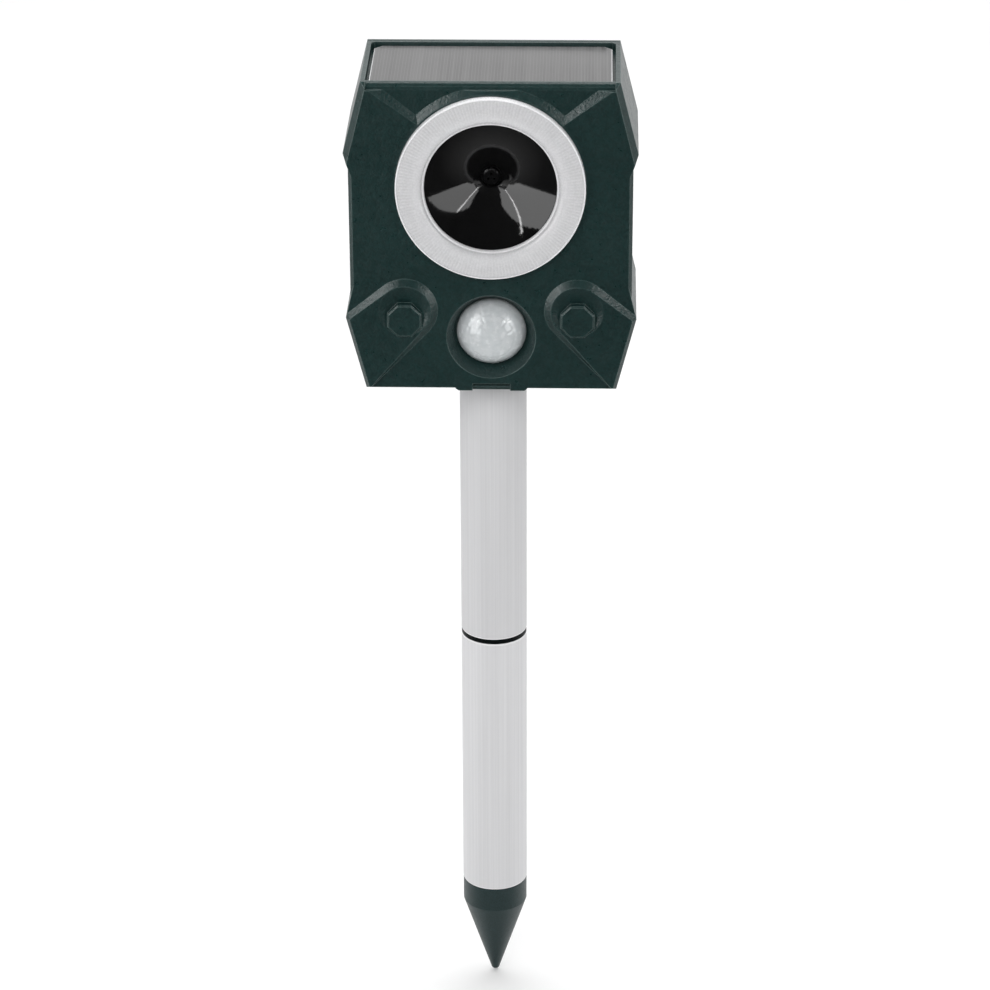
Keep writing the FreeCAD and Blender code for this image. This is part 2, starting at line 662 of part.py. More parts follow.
# ============================================================== solar panel
pseal = body("panel_seal")
sk = loop(sketch(pseal, "panel_seal_outer", "xy", recess_z),
          [(42.6, 20.8), (-42.6, 20.8), (-42.6, -19.8), (42.6, -19.8)])
loop(sk, [(38.6, 17.0), (-38.6, 17.0), (-38.6, -16.0), (38.6, -16.0)])
pad(pseal, sk, 0.5)
keep(pseal, "panel_seal")
panel = body("solar_panel")
sk = loop(sketch(panel, "panel_outline", "xy", recess_z + 0.5),
          [(43.4, 18.6), (40.6, 21.6), (-40.6, 21.6), (-43.4, 18.6), (-43.4, -20.35), (43.4, -20.35)])
pad(panel, sk, 1.8)
keep(panel, "solar_panel")

# ============================================================ horn and lights
lring = turned("light_ring", [(24.0, -24.9), (24.4, -25.7), (25.1, -26.3), (26.0, -26.75), (27.0, -26.97), (28.2, ring_front), (31.0, -26.86),
                              (33.3, -26.65), (33.6, -26.85), (34.0, -26.8), (ring_r, -26.4), (ring_r, -22.45), (32.7, -22.45), (32.7, -25.2), (26.5, -25.2), (26.5, -22.45),
                              (25.45, -22.45), (25.45, -23.95), (23.85, -23.95)], (0, 0, ring_z))
keep(lring, "light_ring")

ledb = turned("led_board", [(25.7, -21.75), (33.0, -21.75), (33.0, -20.55), (25.7, -20.55)], (0, 0, ring_z))
keep(ledb, "led_board")
leds = []
for i in range(12):
    a = math.radians(30 * i + 15)
    r = 29.5
    lo = (r * math.cos(a) - 1.4, -23.1, ring_z + (r * math.sin(a) - 1.4))
    hi = (r * math.cos(a) + 1.4, -21.75, ring_z + (r * math.sin(a) + 1.4))
    leds.append(box("led%d" % i, lo, hi))
keep(group("leds", leds), "leds")

# horn: flared mouth, skirt, throat tube and a square flange on four posts
hb = turned("horn_turned", [(horn_r, -23.9), (14.6, -19.35, "c"), (6.6, -14.0), (3.9, -11.7), (3.9, -10.6), (7.4, -10.6), (7.4, -12.9),
                            (15.4, -17.6, "c"), (23.5, -21.9), (23.5, -14.2), (25.25, -14.2), (25.25, -23.9)], (0, 0, ring_z))
hf = body("horn_flange")
sk = sketch(hf, "flange_outline", "xz", -14.2)
loop(sk, [(31.0, ring_z + 27.0), (27.0, ring_z + 31.0), (-27.0, ring_z + 31.0), (-31.0, ring_z + 27.0),
          (-31.0, ring_z - 27.0), (-27.0, ring_z - 31.0), (27.0, ring_z - 31.0), (31.0, ring_z - 27.0)])
circle(sk, 0, ring_z, 24.4)
for sx, szn in ((1, 1), (1, -1), (-1, 1), (-1, -1)):
    circle(sk, post_x * sx, ring_z + post_x * szn, 1.4)
pad(hf, sk, 2.0)
collar = turned("horn_collar", [(25.0, -20.5), (26.9, -20.5), (26.9, -19.3), (25.0, -19.3)], (0, 0, ring_z))
horn = fuse("horn", [hb, hf, collar])
keep(horn, "horn")

plug = turned("phase_plug", [(0, -13.1), (2.7, -13.1), (3.3, -12.6), (3.3, -10.9), (0, -10.9)], (0, 0, ring_z))
pb = [cyl("plug_hole%d" % i, 0.42, 3.0, (1.25 * math.cos(math.radians(90 + 120 * i)), -13.6, ring_z + 1.25 * math.sin(math.radians(90 + 120 * i))))
      for i in range(3)]
# three slim arms tie the plug to the throat tube
arms = [box("plug_arm", (-3.8, -12.0, ring_z - 0.5), (3.8, -11.0, ring_z + 0.5)),
        box("plug_arm_up", (-0.5, -12.0, ring_z), (0.5, -11.0, ring_z + 3.8))]
pl = cut("phase_plug_part", fuse("plug_sum", [plug] + arms), pb)
keep(pl, "phase_plug")

drv = turned("tweeter_driver", [(0, -10.4), (7.4, -10.5), (19.5, -9.6), (19.5, -4.2), (13.5, -4.2), (13.5, -0.6), (0, -0.6)], (0, 0, ring_z))
keep(drv, "tweeter_driver")

hs = []
for i, (sx, szn) in enumerate(((1, 1), (1, -1), (-1, 1), (-1, -1))):
    hs.append(turned("horn_screw%d" % i, [(0, -20.6), (1.0, -20.0), (1.0, -14.15), (2.3, -14.15), (2.3, -13.0), (1.7, -12.5), (0.7, -12.5), (0.7, -13.1), (0, -13.1)],
                     (post_x * sx, 0, ring_z + post_x * szn)))
keep(group("horn_screws", hs), "horn_screws")

# ============================================================= motion sensor
lens = turned("pir_lens", [(0, -26.1), (7.1, -24.3, "c"), (12.66, -18.4), (12.66, -15.5), (14.4, -15.5), (14.4, -14.5), (11.7, -14.5),
                           (11.7, -18.2), (6.6, -23.4, "c"), (0, -25.1)], (0, 0, pir_z))
keep(lens, "pir_lens")
keep(turned("pir_retainer", [(11.9, -14.45), (15.0, -14.45), (15.0, -13.02), (11.9, -13.02)], (0, 0, pir_z)), "pir_retainer")
keep(box("pir_board", (-13.0, -13.0, pir_z - 12.4), (13.0, -11.8, pir_z + 12.4)), "pir_board")
keep(turned("pir_sensor", [(0, -17.2), (4.1, -17.2), (4.1, -13.6), (4.65, -13.6), (4.65, -13.02), (0, -13.02)], (0, 0, pir_z)), "pir_sensor")

# ================================================================ electronics
mb = cut("main_board", box("main_board_blank", (-38.8, 1.02, 272.4), (38.8, 2.6, 322.0)),
         [cyl("mb_hole%d" % i, 1.3, 3.0, (bpost_x * sx, 0.4, bpost_z1 if szn > 0 else bpost_z0))
          for i, (sx, szn) in enumerate(((1, 1), (1, -1), (-1, 1), (-1, -1)))])
keep(mb, "main_board")
comps = [box("chip_main", (-9.0, 2.62, 290.0), (1.0, 4.4, 300.0)), box("chip_charge", (10.0, 2.62, 281.0), (16.0, 4.0, 287.0)),
         cyl("cap_a", 4.0, 11.0, (-24.0, 2.62, 286.0)), cyl("cap_b", 3.1, 9.0, (-14.0, 2.62, 281.0)),
         cyl("coil", 5.5, 8.0, (17.5, 2.62, 300.0)), box("transistor", (26.0, 2.62, 288.0), (32.0, 6.6, 296.0))]
keep(group("board_components", comps), "board_components")
bs = []
for i, (sx, szn) in enumerate(((1, 1), (1, -1), (-1, 1), (-1, -1))):
    zz = bpost_z1 if szn > 0 else bpost_z0
    bs.append(turned("board_screw%d" % i, [(0, -4.6), (0.9, -4.0), (0.9, 2.62), (2.1, 2.62), (2.1, 3.5), (1.5, 3.9), (0, 3.9)], (bpost_x * sx, 0, zz)))
keep(group("board_screws", bs), "board_screws")

ctl = cut("control_board", box("control_blank", (-34.0, 17.5, knob_z - 13.0), (34.0, 18.88, knob_z + 13.0)),
          [cyl("ctl_hole%d" % (i * 2 + j), 1.1, 3.0, (sx * 31.0, 16.8, knob_z + sz * 10.0)) for i, sx in enumerate((1, -1)) for j, sz in enumerate((1, -1))])
keep(ctl, "control_board")
cs = []
for i, sx in enumerate((1, -1)):
    for j, sz in enumerate((1, -1)):
        cs.append(turned("control_screw%d%d" % (i, j), [(0, 16.1), (1.4, 16.1), (2.0, 16.6), (2.0, 17.48), (0.8, 17.48), (0.8, 22.2), (0, 22.7)],
                         (sx * 31.0, 0, knob_z + sz * 10.0)))
keep(group("control_screws", cs), "control_screws")
for label, x, w in (("mode_switch", -1, 6.5), ("sensitivity_pot", 1, 5.6)):
    bl = box(label + "_case", (knob_x * x - w, 18.9, knob_z - w), (knob_x * x + w, 23.6, knob_z + w))
    bo = cyl(label + "_bore", 3.06, 6.0, (knob_x * x, 19.6, knob_z))
    keep(cut(label, bl, [bo]), label)

kseal = []
for i, sx in enumerate((1, -1)):
    kseal.append(turned("knob_seal%d" % i, [(3.08, cover_in), (4.6, cover_in), (4.6, 26.3), (3.08, 26.3)], (knob_x * sx, 0, knob_z)))
keep(group("knob_seals", kseal), "knob_seals")

# knobs: spindle, skirt and a finger bar; turned about Y
for label, x in (("mode_knob", -1), ("sensitivity_knob", 1)):
    kb = turned(label + "_turned", [(0, 19.8), (3.0, 19.8), (3.0, 27.55), (9.2, 27.55), (9.6, 27.9), (9.6, 29.2), (8.8, 30.2), (0, 30.2)], (knob_x * x, 0, knob_z))
    bar = body(label + "_bar")
    sk = loop(sketch(bar, label + "_bar_outline", "xz", 29.8),
              [(knob_x * x + 2.1, knob_z + 7.6), (knob_x * x, knob_z + 8.7), (knob_x * x - 2.1, knob_z + 7.6), (knob_x * x - 2.1, knob_z - 7.6), (knob_x * x - 1.2, knob_z - 8.4),
               (knob_x * x + 1.2, knob_z - 8.4), (knob_x * x + 2.1, knob_z - 7.6)])
    pad(bar, sk, 4.2, back=True)
    chamfer(bar, 0.7, lambda ed: min(v.Y for v in ed.Vertexes) > 34.0 - 1e-4, label + "_bar_edge")
    keep(fuse(label, [kb, bar]), label)

# charging socket and its board
keep(box("charge_board", (-9.0, 11.4, usb_z - 3.88), (9.0, 24.6, usb_z - 2.4)), "charge_board")
up = body("usb_port")
sk = loop(sketch(up, "usb_shell", "xz", 18.2),
          [(3.6, usb_z + 1.6), (4.45, usb_z + 0.75), (4.45, usb_z - 1.5), (3.6, usb_z - 2.36), (-3.6, usb_z - 2.36), (-4.45, usb_z - 1.5),
           (-4.45, usb_z + 0.75), (-3.6, usb_z + 1.6)])
pad(up, sk, 8.1, back=True)
sk = loop(sketch(up, "usb_mouth", "xz", 26.3),
          [(3.3, usb_z + 1.2), (4.05, usb_z + 0.5), (4.05, usb_z - 1.25), (3.3, usb_z - 1.95), (-3.3, usb_z - 1.95), (-4.05, usb_z - 1.25),
           (-4.05, usb_z + 0.5), (-3.3, usb_z + 1.2)])
pocket(up, sk, 6.6, back=True)
sk = loop(sketch(up, "usb_tongue", "xz", 19.5), [(3.2, usb_z - 0.05), (3.2, usb_z - 0.7), (-3.2, usb_z - 0.7), (-3.2, usb_z - 0.05)])
pad(up, sk, 5.6, back=True)
keep(up, "usb_port")

# weather flap on its own pin
fl = body("flap_leaf")
sk = loop(sketch(fl, "flap_outline", "xz", 26.6),
          [(8.9, usb_z + 5.3), (8.9, usb_z - 4.8), (7.9, usb_z - 5.9), (-7.9, usb_z - 5.9), (-8.9, usb_z - 4.8), (-8.9, usb_z + 5.3)])
pad(fl, sk, 1.7, back=True)
chamfer(fl, 0.4, lambda ed: min(v.Y for v in ed.Vertexes) > 28.3 - 1e-4, "flap_edge")
arm = box("flap_arm", (-5.9, 27.45, usb_z + 4.6), (5.9, 28.85, ear_z + 0.1))
pin = cyl("flap_pin", 0.7, 17.2, (-8.6, 28.15, ear_z), "x")
knuckle = cyl("flap_knuckle", 1.05, 12.2, (-6.1, 28.15, ear_z), "x")
tab = box("flap_tab", (-2.6, 27.45, usb_z - 6.9), (2.6, 28.3, usb_z - 5.5))
keep(fuse("port_cover", [fl, arm, pin, knuckle, tab]), "port_cover")

# ==================================================================== battery
bat_y = P("battery_y", 13.2)
bat_z = P("battery_z", 261.9)
cell_b = turned("battery_cell", [(0, -32.4), (8.4, -32.4), (9.1, -31.7), (9.1, 31.2), (8.2, 31.6), (3.2, 31.6), (2.9, 32.6), (0, 32.6)], (0, bat_y, bat_z))
cell_b.Placement = FreeCAD.Placement(cell_b.Placement.Base, FreeCAD.Rotation(V(0, 0, 1), -90))
bind(cell_b, "Placement.Base.y", bat_y)
bind(cell_b, "Placement.Base.z", bat_z)
keep(cell_b, "battery_cell")
cr = [box("tray", (-37.4, bat_y - 9.9, 249.6), (37.4, bat_y + 9.9, 257.6)),
      box("tray_end_r", (34.6, bat_y - 9.9, 249.6), (37.4, bat_y + 9.9, 268.6)),
      box("tray_end_l", (-37.4, bat_y - 9.9, 249.6), (-34.6, bat_y + 9.9, 268.6)),
      box("tray_leg_r", (24.0, bat_y - 3.0, 221.4), (28.0, bat_y + 3.0, 250.0)),
      box("tray_leg_l", (-28.0, bat_y - 3.0, 221.4), (-24.0, bat_y + 3.0, 250.0))]
keep(cut("battery_cradle", fuse("cradle_sum", cr), [cyl("cradle_bore", 9.25, 68.8, (-34.4, bat_y, bat_z), "x")]), "battery_cradle")
keep(group("battery_contacts", [box("contact_a", (33.3, bat_y - 4.0, bat_z - 4.0), (34.3, bat_y + 4.0, bat_z + 6.0)),
                                box("contact_b", (-34.3, bat_y - 4.0, bat_z - 4.0), (-33.3, bat_y + 4.0, bat_z + 6.0))]), "battery_contacts")


# ====================================================================== leads
def lead(name, pts, r):
    """A round wire along straight runs joined by tangent arcs."""
    pts = [V(*p) for p in pts]
    edges = []
    cur = pts[0]
    total = 0.0
    for i in range(1, len(pts) - 1):
        a, b, c = pts[i - 1], pts[i], pts[i + 1]
        u = (a - b).normalize() if (a - b).Length else None
        w = (c - b)
        w.normalize()
        u = (a - b)
        la = u.Length
        lc = (c - b).Length
        u.normalize()
        ang = math.pi - math.acos(max(-1.0, min(1.0, u.dot(w))))
        if ang < 1e-3:
            continue
        rad = 0.45 * min(la, lc) / math.tan(ang / 2)
        tl = rad * math.tan(ang / 2)
        p0 = b + u * tl
        p1 = b + w * tl
        bis = (u + w)
        bis.normalize()
        cen = b + bis * (rad / math.cos(ang / 2))
        mid = cen - bis * rad
        if (p0 - cur).Length > 1e-6:
            edges.append(Part.LineSegment(cur, p0).toShape())
            total += (p0 - cur).Length
        edges.append(Part.Arc(p0, mid, p1).toShape())
        total += rad * ang
        cur = p1
    edges.append(Part.LineSegment(cur, pts[-1]).toShape())
    total += (pts[-1] - cur).Length
    path = Part.Wire(edges)
    d = pts[1] - pts[0]
    prof = Part.Wire([Part.makeCircle(r, pts[0], d)])
    solid = path.makePipeShell([prof], True, False, 2)
    ratio = solid.Volume / (math.pi * r * r * total)
    if not 0.97 < ratio < 1.03:
        raise RuntimeError("lead %s volume ratio %.3f" % (name, ratio))
    f = doc.addObject("Part::Feature", name)
    f.Shape = solid
    print("lead", name, "length %.1f" % total)
    return f


doc.recompute()
wire_r = P("wire_radius", 0.65)
rr = wire_r.v
leads = [lead("lead_panel", [(30.0, 8.0, 332.5), (30.0, 8.0, 326.0), (30.0, 3.3 + rr, 320.0), (30.0, 3.3 + rr, 312.0)], rr),
         lead("lead_sensor", [(9.0, -11.1, 248.0), (9.0, -11.1, 255.0), (14.0, -6.0, 262.0), (20.0, 0.2 - rr, 268.0), (20.0, 0.2 - rr, 276.0)], rr),
         lead("lead_battery", [(33.8, 19.6, 266.0), (33.8, 19.6, 271.0), (31.0, 12.0, 276.5), (28.0, 4.4, 281.0), (28.0, 3.4, 284.0)], rr),
         lead("lead_charge", [(-6.0, 12.6, usb_z.v - 1.7), (-10.6, 12.6, usb_z.v + 4.0), (-16.0, 6.0, 243.0), (-20.0, 0.1, 252.0), (-20.0, -0.6, 262.0), (-20.0, 0.2 - rr, 275.0)], rr),
         lead("lead_lights", [(28.0, -19.8, ring_z.v - 8.0), (31.6, -19.8, ring_z.v - 9.0), (33.2, -12.0, ring_z.v - 9.5), (33.0, -4.0, ring_z.v - 10.0), (30.0, 0.2 - rr, ring_z.v - 12.0)], rr)]
keep(group("internal_leads", leads), "internal_leads")

# ============================================================= check and write
doc.recompute()
bad = []
for o in doc.Objects:
    if "Invalid" in o.State or "Error" in o.State:
        bad.append((o.Name, o.State))
for o, label in parts:
    if o.Shape.isNull() or not o.Shape.isValid():
        bad.append((label, "shape"))
if bad:
    raise RuntimeError("failed objects: %s" % bad)
os.makedirs("parts", exist_ok=True)
for o, label in parts:
    o.Shape.exportStep("parts/%s.step" % label)
    bb = o.Shape.BoundBox
    print("%-18s solids %2d vol %9.1f  x %.1f..%.1f y %.1f..%.1f z %.1f..%.1f" % (
        label, len(o.Shape.Solids), o.Shape.Volume, bb.XMin, bb.XMax, bb.YMin, bb.YMax, bb.ZMin, bb.ZMax))
print(len(parts), "nodes,", len(used), "sheet values")
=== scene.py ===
import bpy, bmesh, math
from mathutils import Vector, Matrix


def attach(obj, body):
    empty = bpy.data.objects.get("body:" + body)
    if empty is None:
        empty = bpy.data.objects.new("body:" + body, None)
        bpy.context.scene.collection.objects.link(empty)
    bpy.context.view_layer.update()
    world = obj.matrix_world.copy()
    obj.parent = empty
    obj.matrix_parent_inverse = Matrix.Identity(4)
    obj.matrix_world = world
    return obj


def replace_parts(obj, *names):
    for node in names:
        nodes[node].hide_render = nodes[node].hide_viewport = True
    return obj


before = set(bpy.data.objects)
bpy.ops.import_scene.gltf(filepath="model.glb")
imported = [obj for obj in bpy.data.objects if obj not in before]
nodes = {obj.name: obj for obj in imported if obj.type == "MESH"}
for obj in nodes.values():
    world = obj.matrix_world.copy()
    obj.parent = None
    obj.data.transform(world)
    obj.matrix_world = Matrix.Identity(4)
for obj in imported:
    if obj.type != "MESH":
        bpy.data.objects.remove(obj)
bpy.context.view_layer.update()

scene = bpy.context.scene
scene.view_settings.view_transform = "Standard"
scene.view_settings.look = "None"
MM = 0.001

# ------------------------------------------------------------------ camera
cam_data = bpy.data.cameras.new("Camera")
cam = bpy.data.objects.new("Camera", cam_data)
scene.collection.objects.link(cam)
right = Vector((0.99964, 0.02677, -0.00354)).normalized()
fwd = Vector((-0.02580, 0.90819, -0.41777)).normalized()
right = (right - fwd * right.dot(fwd)).normalized()
up = right.cross(fwd)
m = Matrix((
    (right.x, up.x, -fwd.x, 0.0383),
    (right.y, up.y, -fwd.y, -1.3302),
    (right.z, up.z, -fwd.z, 0.7767),
    (0, 0, 0, 1)))
cam.matrix_world = m
cam_data.sensor_width = 36.0
cam_data.lens = 36.0 * 3879.26 / 990.0
cam_data.clip_start = 0.05
cam_data.clip_end = 50
scene.camera = cam


# ------------------------------------------------------------ node helpers
def new_mat(name):
    mt = bpy.data.materials.new(name)
    mt.use_nodes = True
    nt = mt.node_tree
    nt.nodes.clear()
    out = nt.nodes.new("ShaderNodeOutputMaterial")
    bs = nt.nodes.new("ShaderNodeBsdfPrincipled")
    nt.links.new(bs.outputs[0], out.inputs[0])
    return mt, nt, bs


def coords(nt, scale=(1, 1, 1), rot=(0, 0, 0)):
    tc = nt.nodes.new("ShaderNodeTexCoord")
    mp = nt.nodes.new("ShaderNodeMapping")
    mp.inputs["Scale"].default_value = scale
    mp.inputs["Rotation"].default_value = rot
    nt.links.new(tc.outputs["Object"], mp.inputs["Vector"])
    return mp.outputs[0]


def noise(nt, vec, scale, detail=3.0, rough=0.6):
    n = nt.nodes.new("ShaderNodeTexNoise")
    n.inputs["Scale"].default_value = scale
    n.inputs["Detail"].default_value = detail
    n.inputs["Roughness"].default_value = rough
    nt.links.new(vec, n.inputs["Vector"])
    return n.outputs["Fac"]


def ramp(nt, fac, stops):
    r = nt.nodes.new("ShaderNodeValToRGB")
    el = r.color_ramp.elements
    while len(el) < len(stops):
        el.new(0.5)
    for e, (p, c) in zip(el, stops):
        e.position = p
        e.color = (c[0], c[1], c[2], 1) if isinstance(c, (tuple, list)) else (c, c, c, 1)
    nt.links.new(fac, r.inputs["Fac"])
    return r.outputs["Color"]


def math_node(nt, op, a, b=None):
    n = nt.nodes.new("ShaderNodeMath")
    n.operation = op
    for i, x in enumerate((a, b)):
        if x is None:
            continue
        if isinstance(x, (int, float)):
            n.inputs[i].default_value = x
        else:
            nt.links.new(x, n.inputs[i])
    return n.outputs[0]


def bump(nt, bs, height, strength, dist, after=None):
    b = nt.nodes.new("ShaderNodeBump")
    b.inputs["Strength"].default_value = strength
    b.inputs["Distance"].default_value = dist
    nt.links.new(height, b.inputs["Height"])
    if after is not None:
        nt.links.new(after, b.inputs["Normal"])
    nt.links.new(b.outputs[0], bs.inputs["Normal"])
    return b.outputs[0]


def mix_rgb(nt, fac, a, b, mode="MIX"):
    n = nt.nodes.new("ShaderNodeMix")
    n.data_type = "RGBA"
    n.blend_type = mode
    for sock, x in ((n.inputs[0], fac), (n.inputs[6], a), (n.inputs[7], b)):
        if isinstance(x, (int, float)):
            sock.default_value = x
        elif isinstance(x, tuple):
            sock.default_value = (x[0], x[1], x[2], 1)
        else:
            nt.links.new(x, sock)
    return n.outputs[2]


def edge_mask(nt, radius):
    """Bright where the surface turns at an edge, from the bevel shader's normal."""
    bv = nt.nodes.new("ShaderNodeBevel")
    bv.samples = 4
    bv.inputs["Radius"].default_value = radius
    geo = nt.nodes.new("ShaderNodeNewGeometry")
    dot = nt.nodes.new("ShaderNodeVectorMath")
    dot.operation = "DOT_PRODUCT"
    nt.links.new(bv.outputs[0], dot.inputs[0])
    nt.links.new(geo.outputs["Normal"], dot.inputs[1])
    return math_node(nt, "SUBTRACT", 1.0, dot.outputs["Value"])


def plastic(name, dark, light, rough=(0.42, 0.6), spec=0.3, grain=1400.0, strength=0.5, mottling=True, painted_edge_highlight=None, edge=0.0,
            depth=0.00012):
    """Moulded plastic with a fine spark-eroded grain and soft tone variation."""
    mt, nt, bs = new_mat(name)
    v = coords(nt)
    fine = noise(nt, v, grain, 2.0, 0.55)
    mid = noise(nt, v, grain * 0.32, 3.0, 0.6)
    big = noise(nt, v, 28.0, 3.0, 0.55)
    col = ramp(nt, big, [(0.3, dark), (0.7, light)])
    if mottling:
        speck = ramp(nt, fine, [(0.35, 0.82), (0.65, 1.18)])
        col = mix_rgb(nt, 1.0, col, speck, "MULTIPLY")
    if painted_edge_highlight is not None:
        # painted highlight on the edges: a little paler, and broken up by the grain
        em = edge_mask(nt, 0.0005)
        em = math_node(nt, "MULTIPLY", em, math_node(nt, "ADD", mid, 0.45))
        em = math_node(nt, "MINIMUM", math_node(nt, "MULTIPLY", em, 7.0), 0.75)
        col = mix_rgb(nt, em, col, painted_edge_highlight)
    nt.links.new(col, bs.inputs["Base Color"])
    nt.links.new(ramp(nt, mid, [(0.3, rough[0]), (0.7, rough[1])]), bs.inputs["Roughness"])
    bs.inputs["Specular IOR Level"].default_value = spec
    h = math_node(nt, "ADD", fine, math_node(nt, "MULTIPLY", mid, 0.9))
    rounded = None
    if edge:
        bv = nt.nodes.new("ShaderNodeBevel")
        bv.samples = 6
        bv.inputs["Radius"].default_value = edge
        rounded = bv.outputs[0]
    bump(nt, bs, h, strength, depth, after=rounded)
    return mt


def simple(name, base, rough=0.5, metallic=0.0, spec=0.5, scale=600.0, amount=0.15, strength=0.2, coat=0.0):
    """A plain finish with slight tone and gloss variation."""
    mt, nt, bs = new_mat(name)
    v = coords(nt)
    n1 = noise(nt, v, scale, 3.0, 0.6)
    lo = tuple(c * (1 - amount) for c in base)
    hi = tuple(min(1.0, c * (1 + amount)) for c in base)
    nt.links.new(ramp(nt, n1, [(0.3, lo), (0.7, hi)]), bs.inputs["Base Color"])
    n2 = noise(nt, v, scale * 0.25, 2.0, 0.5)
    nt.links.new(ramp(nt, n2, [(0.3, max(0.02, rough - 0.06)), (0.7, min(1.0, rough + 0.06))]), bs.inputs["Roughness"])
    bs.inputs["Metallic"].default_value = metallic
    bs.inputs["Specular IOR Level"].default_value = spec
    bs.inputs["Coat Weight"].default_value = coat
    bump(nt, bs, n1, strength, 0.00004)
    return mt


def set_mat(name, mt):
    o = nodes[name]
    o.data.materials.clear()
    o.data.materials.append(mt)


# --------------------------------------------------------------- materials
GREEN_D = (0.0064, 0.0255, 0.0243)
GREEN_L = (0.0088, 0.0318, 0.0303)
# the pale edge colour below is a painted highlight along the shell's edges
m_shell = plastic("HousingGreen", GREEN_D, GREEN_L, rough=(0.27, 0.40), spec=0.62, grain=1150.0, strength=1.0,
                  painted_edge_highlight=(0.11, 0.165, 0.158), edge=0.0004, depth=0.00016)
m_spike = plastic("SpikeGreen", (0.020, 0.039, 0.040), (0.024, 0.045, 0.046), rough=(0.34, 0.46), spec=0.5, grain=2200.0,
                  strength=0.16, edge=0.0003)
m_trim = plastic("TrimGreen", (0.0015, 0.0035, 0.0034), (0.0025, 0.005, 0.0048), rough=(0.34, 0.46), spec=0.12, grain=2400.0,
                 strength=0.12, edge=0.00025)


def aluminium(name, z0, z1, painted_light_gain=1.0):
    """Satin anodised tube: long faint draw lines, a fine even grain, and a painted highlight as a pale band at each
    cut end.
    """
    mt, nt, bs = new_mat(name)
    lines = noise(nt, coords(nt, (1500, 1500, 5)), 1.0, 4.0, 0.7)
    broad = noise(nt, coords(nt, (160, 160, 9)), 1.0, 2.0, 0.5)
    fine = noise(nt, coords(nt), 5200.0, 2.0, 0.6)
    col = ramp(nt, lines, [(0.25, (0.615 * painted_light_gain, 0.615 * painted_light_gain, 0.626 * painted_light_gain)), (0.75, (0.705 * painted_light_gain, 0.705 * painted_light_gain, 0.716 * painted_light_gain))])
    col = mix_rgb(nt, 1.0, col, ramp(nt, broad, [(0.3, 0.97), (0.7, 1.0)]), "MULTIPLY")
    sep = nt.nodes.new("ShaderNodeSeparateXYZ")
    nt.links.new(coords(nt), sep.inputs[0])
    # painted highlight: a pale band within about half a millimetre of each cut end
    end = math_node(nt, "MINIMUM", math_node(nt, "SUBTRACT", sep.outputs[2], z0), math_node(nt, "SUBTRACT", z1, sep.outputs[2]))
    end = ramp(nt, math_node(nt, "MULTIPLY", end, 500.0), [(0.22, 1.0), (0.32, 0.0)])
    col = mix_rgb(nt, end, col, (0.90, 0.90, 0.91))
    nt.links.new(col, bs.inputs["Base Color"])
    nt.links.new(ramp(nt, fine, [(0.3, 0.42), (0.7, 0.52)]), bs.inputs["Roughness"])
    bs.inputs["Metallic"].default_value = 0.06
    bs.inputs["Specular IOR Level"].default_value = 0.22
    bump(nt, bs, math_node(nt, "ADD", fine, lines), 0.10, 0.00004)
    return mt


# painted light: the lower tube's copy of the satin aluminium is painted 9% lighter than the upper one
m_alu_low = aluminium("SatinAluminiumLower", 0.0, 0.10786, 1.09)
m_alu_up = aluminium("SatinAluminiumUpper", 0.1097, 0.2154)


def horn_gloss(name):
    mt, nt, bs = new_mat(name)
    v = coords(nt)
    n = noise(nt, v, 90.0, 2.0, 0.5)
    nt.links.new(ramp(nt, n, [(0.3, (0.0032, 0.0032, 0.0034)), (0.7, (0.0046, 0.0046, 0.0048))]), bs.inputs["Base Color"])
    nt.links.new(ramp(nt, n, [(0.3, 0.045), (0.7, 0.065)]), bs.inputs["Roughness"])
    bs.inputs["Specular IOR Level"].default_value = 0.5
    # faint radial streaks left by polishing the mould core
    tc = nt.nodes.new("ShaderNodeTexCoord")
    sep = nt.nodes.new("ShaderNodeSeparateXYZ")
    nt.links.new(tc.outputs["Object"], sep.inputs[0])
    ang = math_node(nt, "ARCTAN2", sep.outputs[0], math_node(nt, "SUBTRACT", sep.outputs[2], 0.2968))
    nz = nt.nodes.new("ShaderNodeTexNoise")
    nz.noise_dimensions = "1D"
    nz.inputs["Scale"].default_value = 24.0
    nz.inputs["Detail"].default_value = 4.0
    nt.links.new(ang, nz.inputs["W"])
    bump(nt, bs, nz.outputs["Fac"], 0.06, 0.00008)
    return mt


m_horn = horn_gloss("HornGlossBlack")


def milky(name, lo, hi, rough=(0.28, 0.4), sss=0.3, radius=0.003, scale=220.0, spec=0.5, coat=0.0):
    """Milky translucent plastic."""
    mt, nt, bs = new_mat(name)
    v = coords(nt)
    n = noise(nt, v, scale, 3.0, 0.5)
    nt.links.new(ramp(nt, n, [(0.3, lo), (0.7, hi)]), bs.inputs["Base Color"])
    nt.links.new(ramp(nt, n, [(0.3, rough[0]), (0.7, rough[1])]), bs.inputs["Roughness"])
    bs.inputs["Subsurface Weight"].default_value = sss
    bs.inputs["Subsurface Radius"].default_value = (1.0, 1.0, 1.0)
    bs.inputs["Subsurface Scale"].default_value = radius
    bs.inputs["Specular IOR Level"].default_value = spec
    bs.inputs["Coat Weight"].default_value = coat
    bs.inputs["Coat Roughness"].default_value = 0.13
    bump(nt, bs, n, 0.1, 0.00005)
    return mt


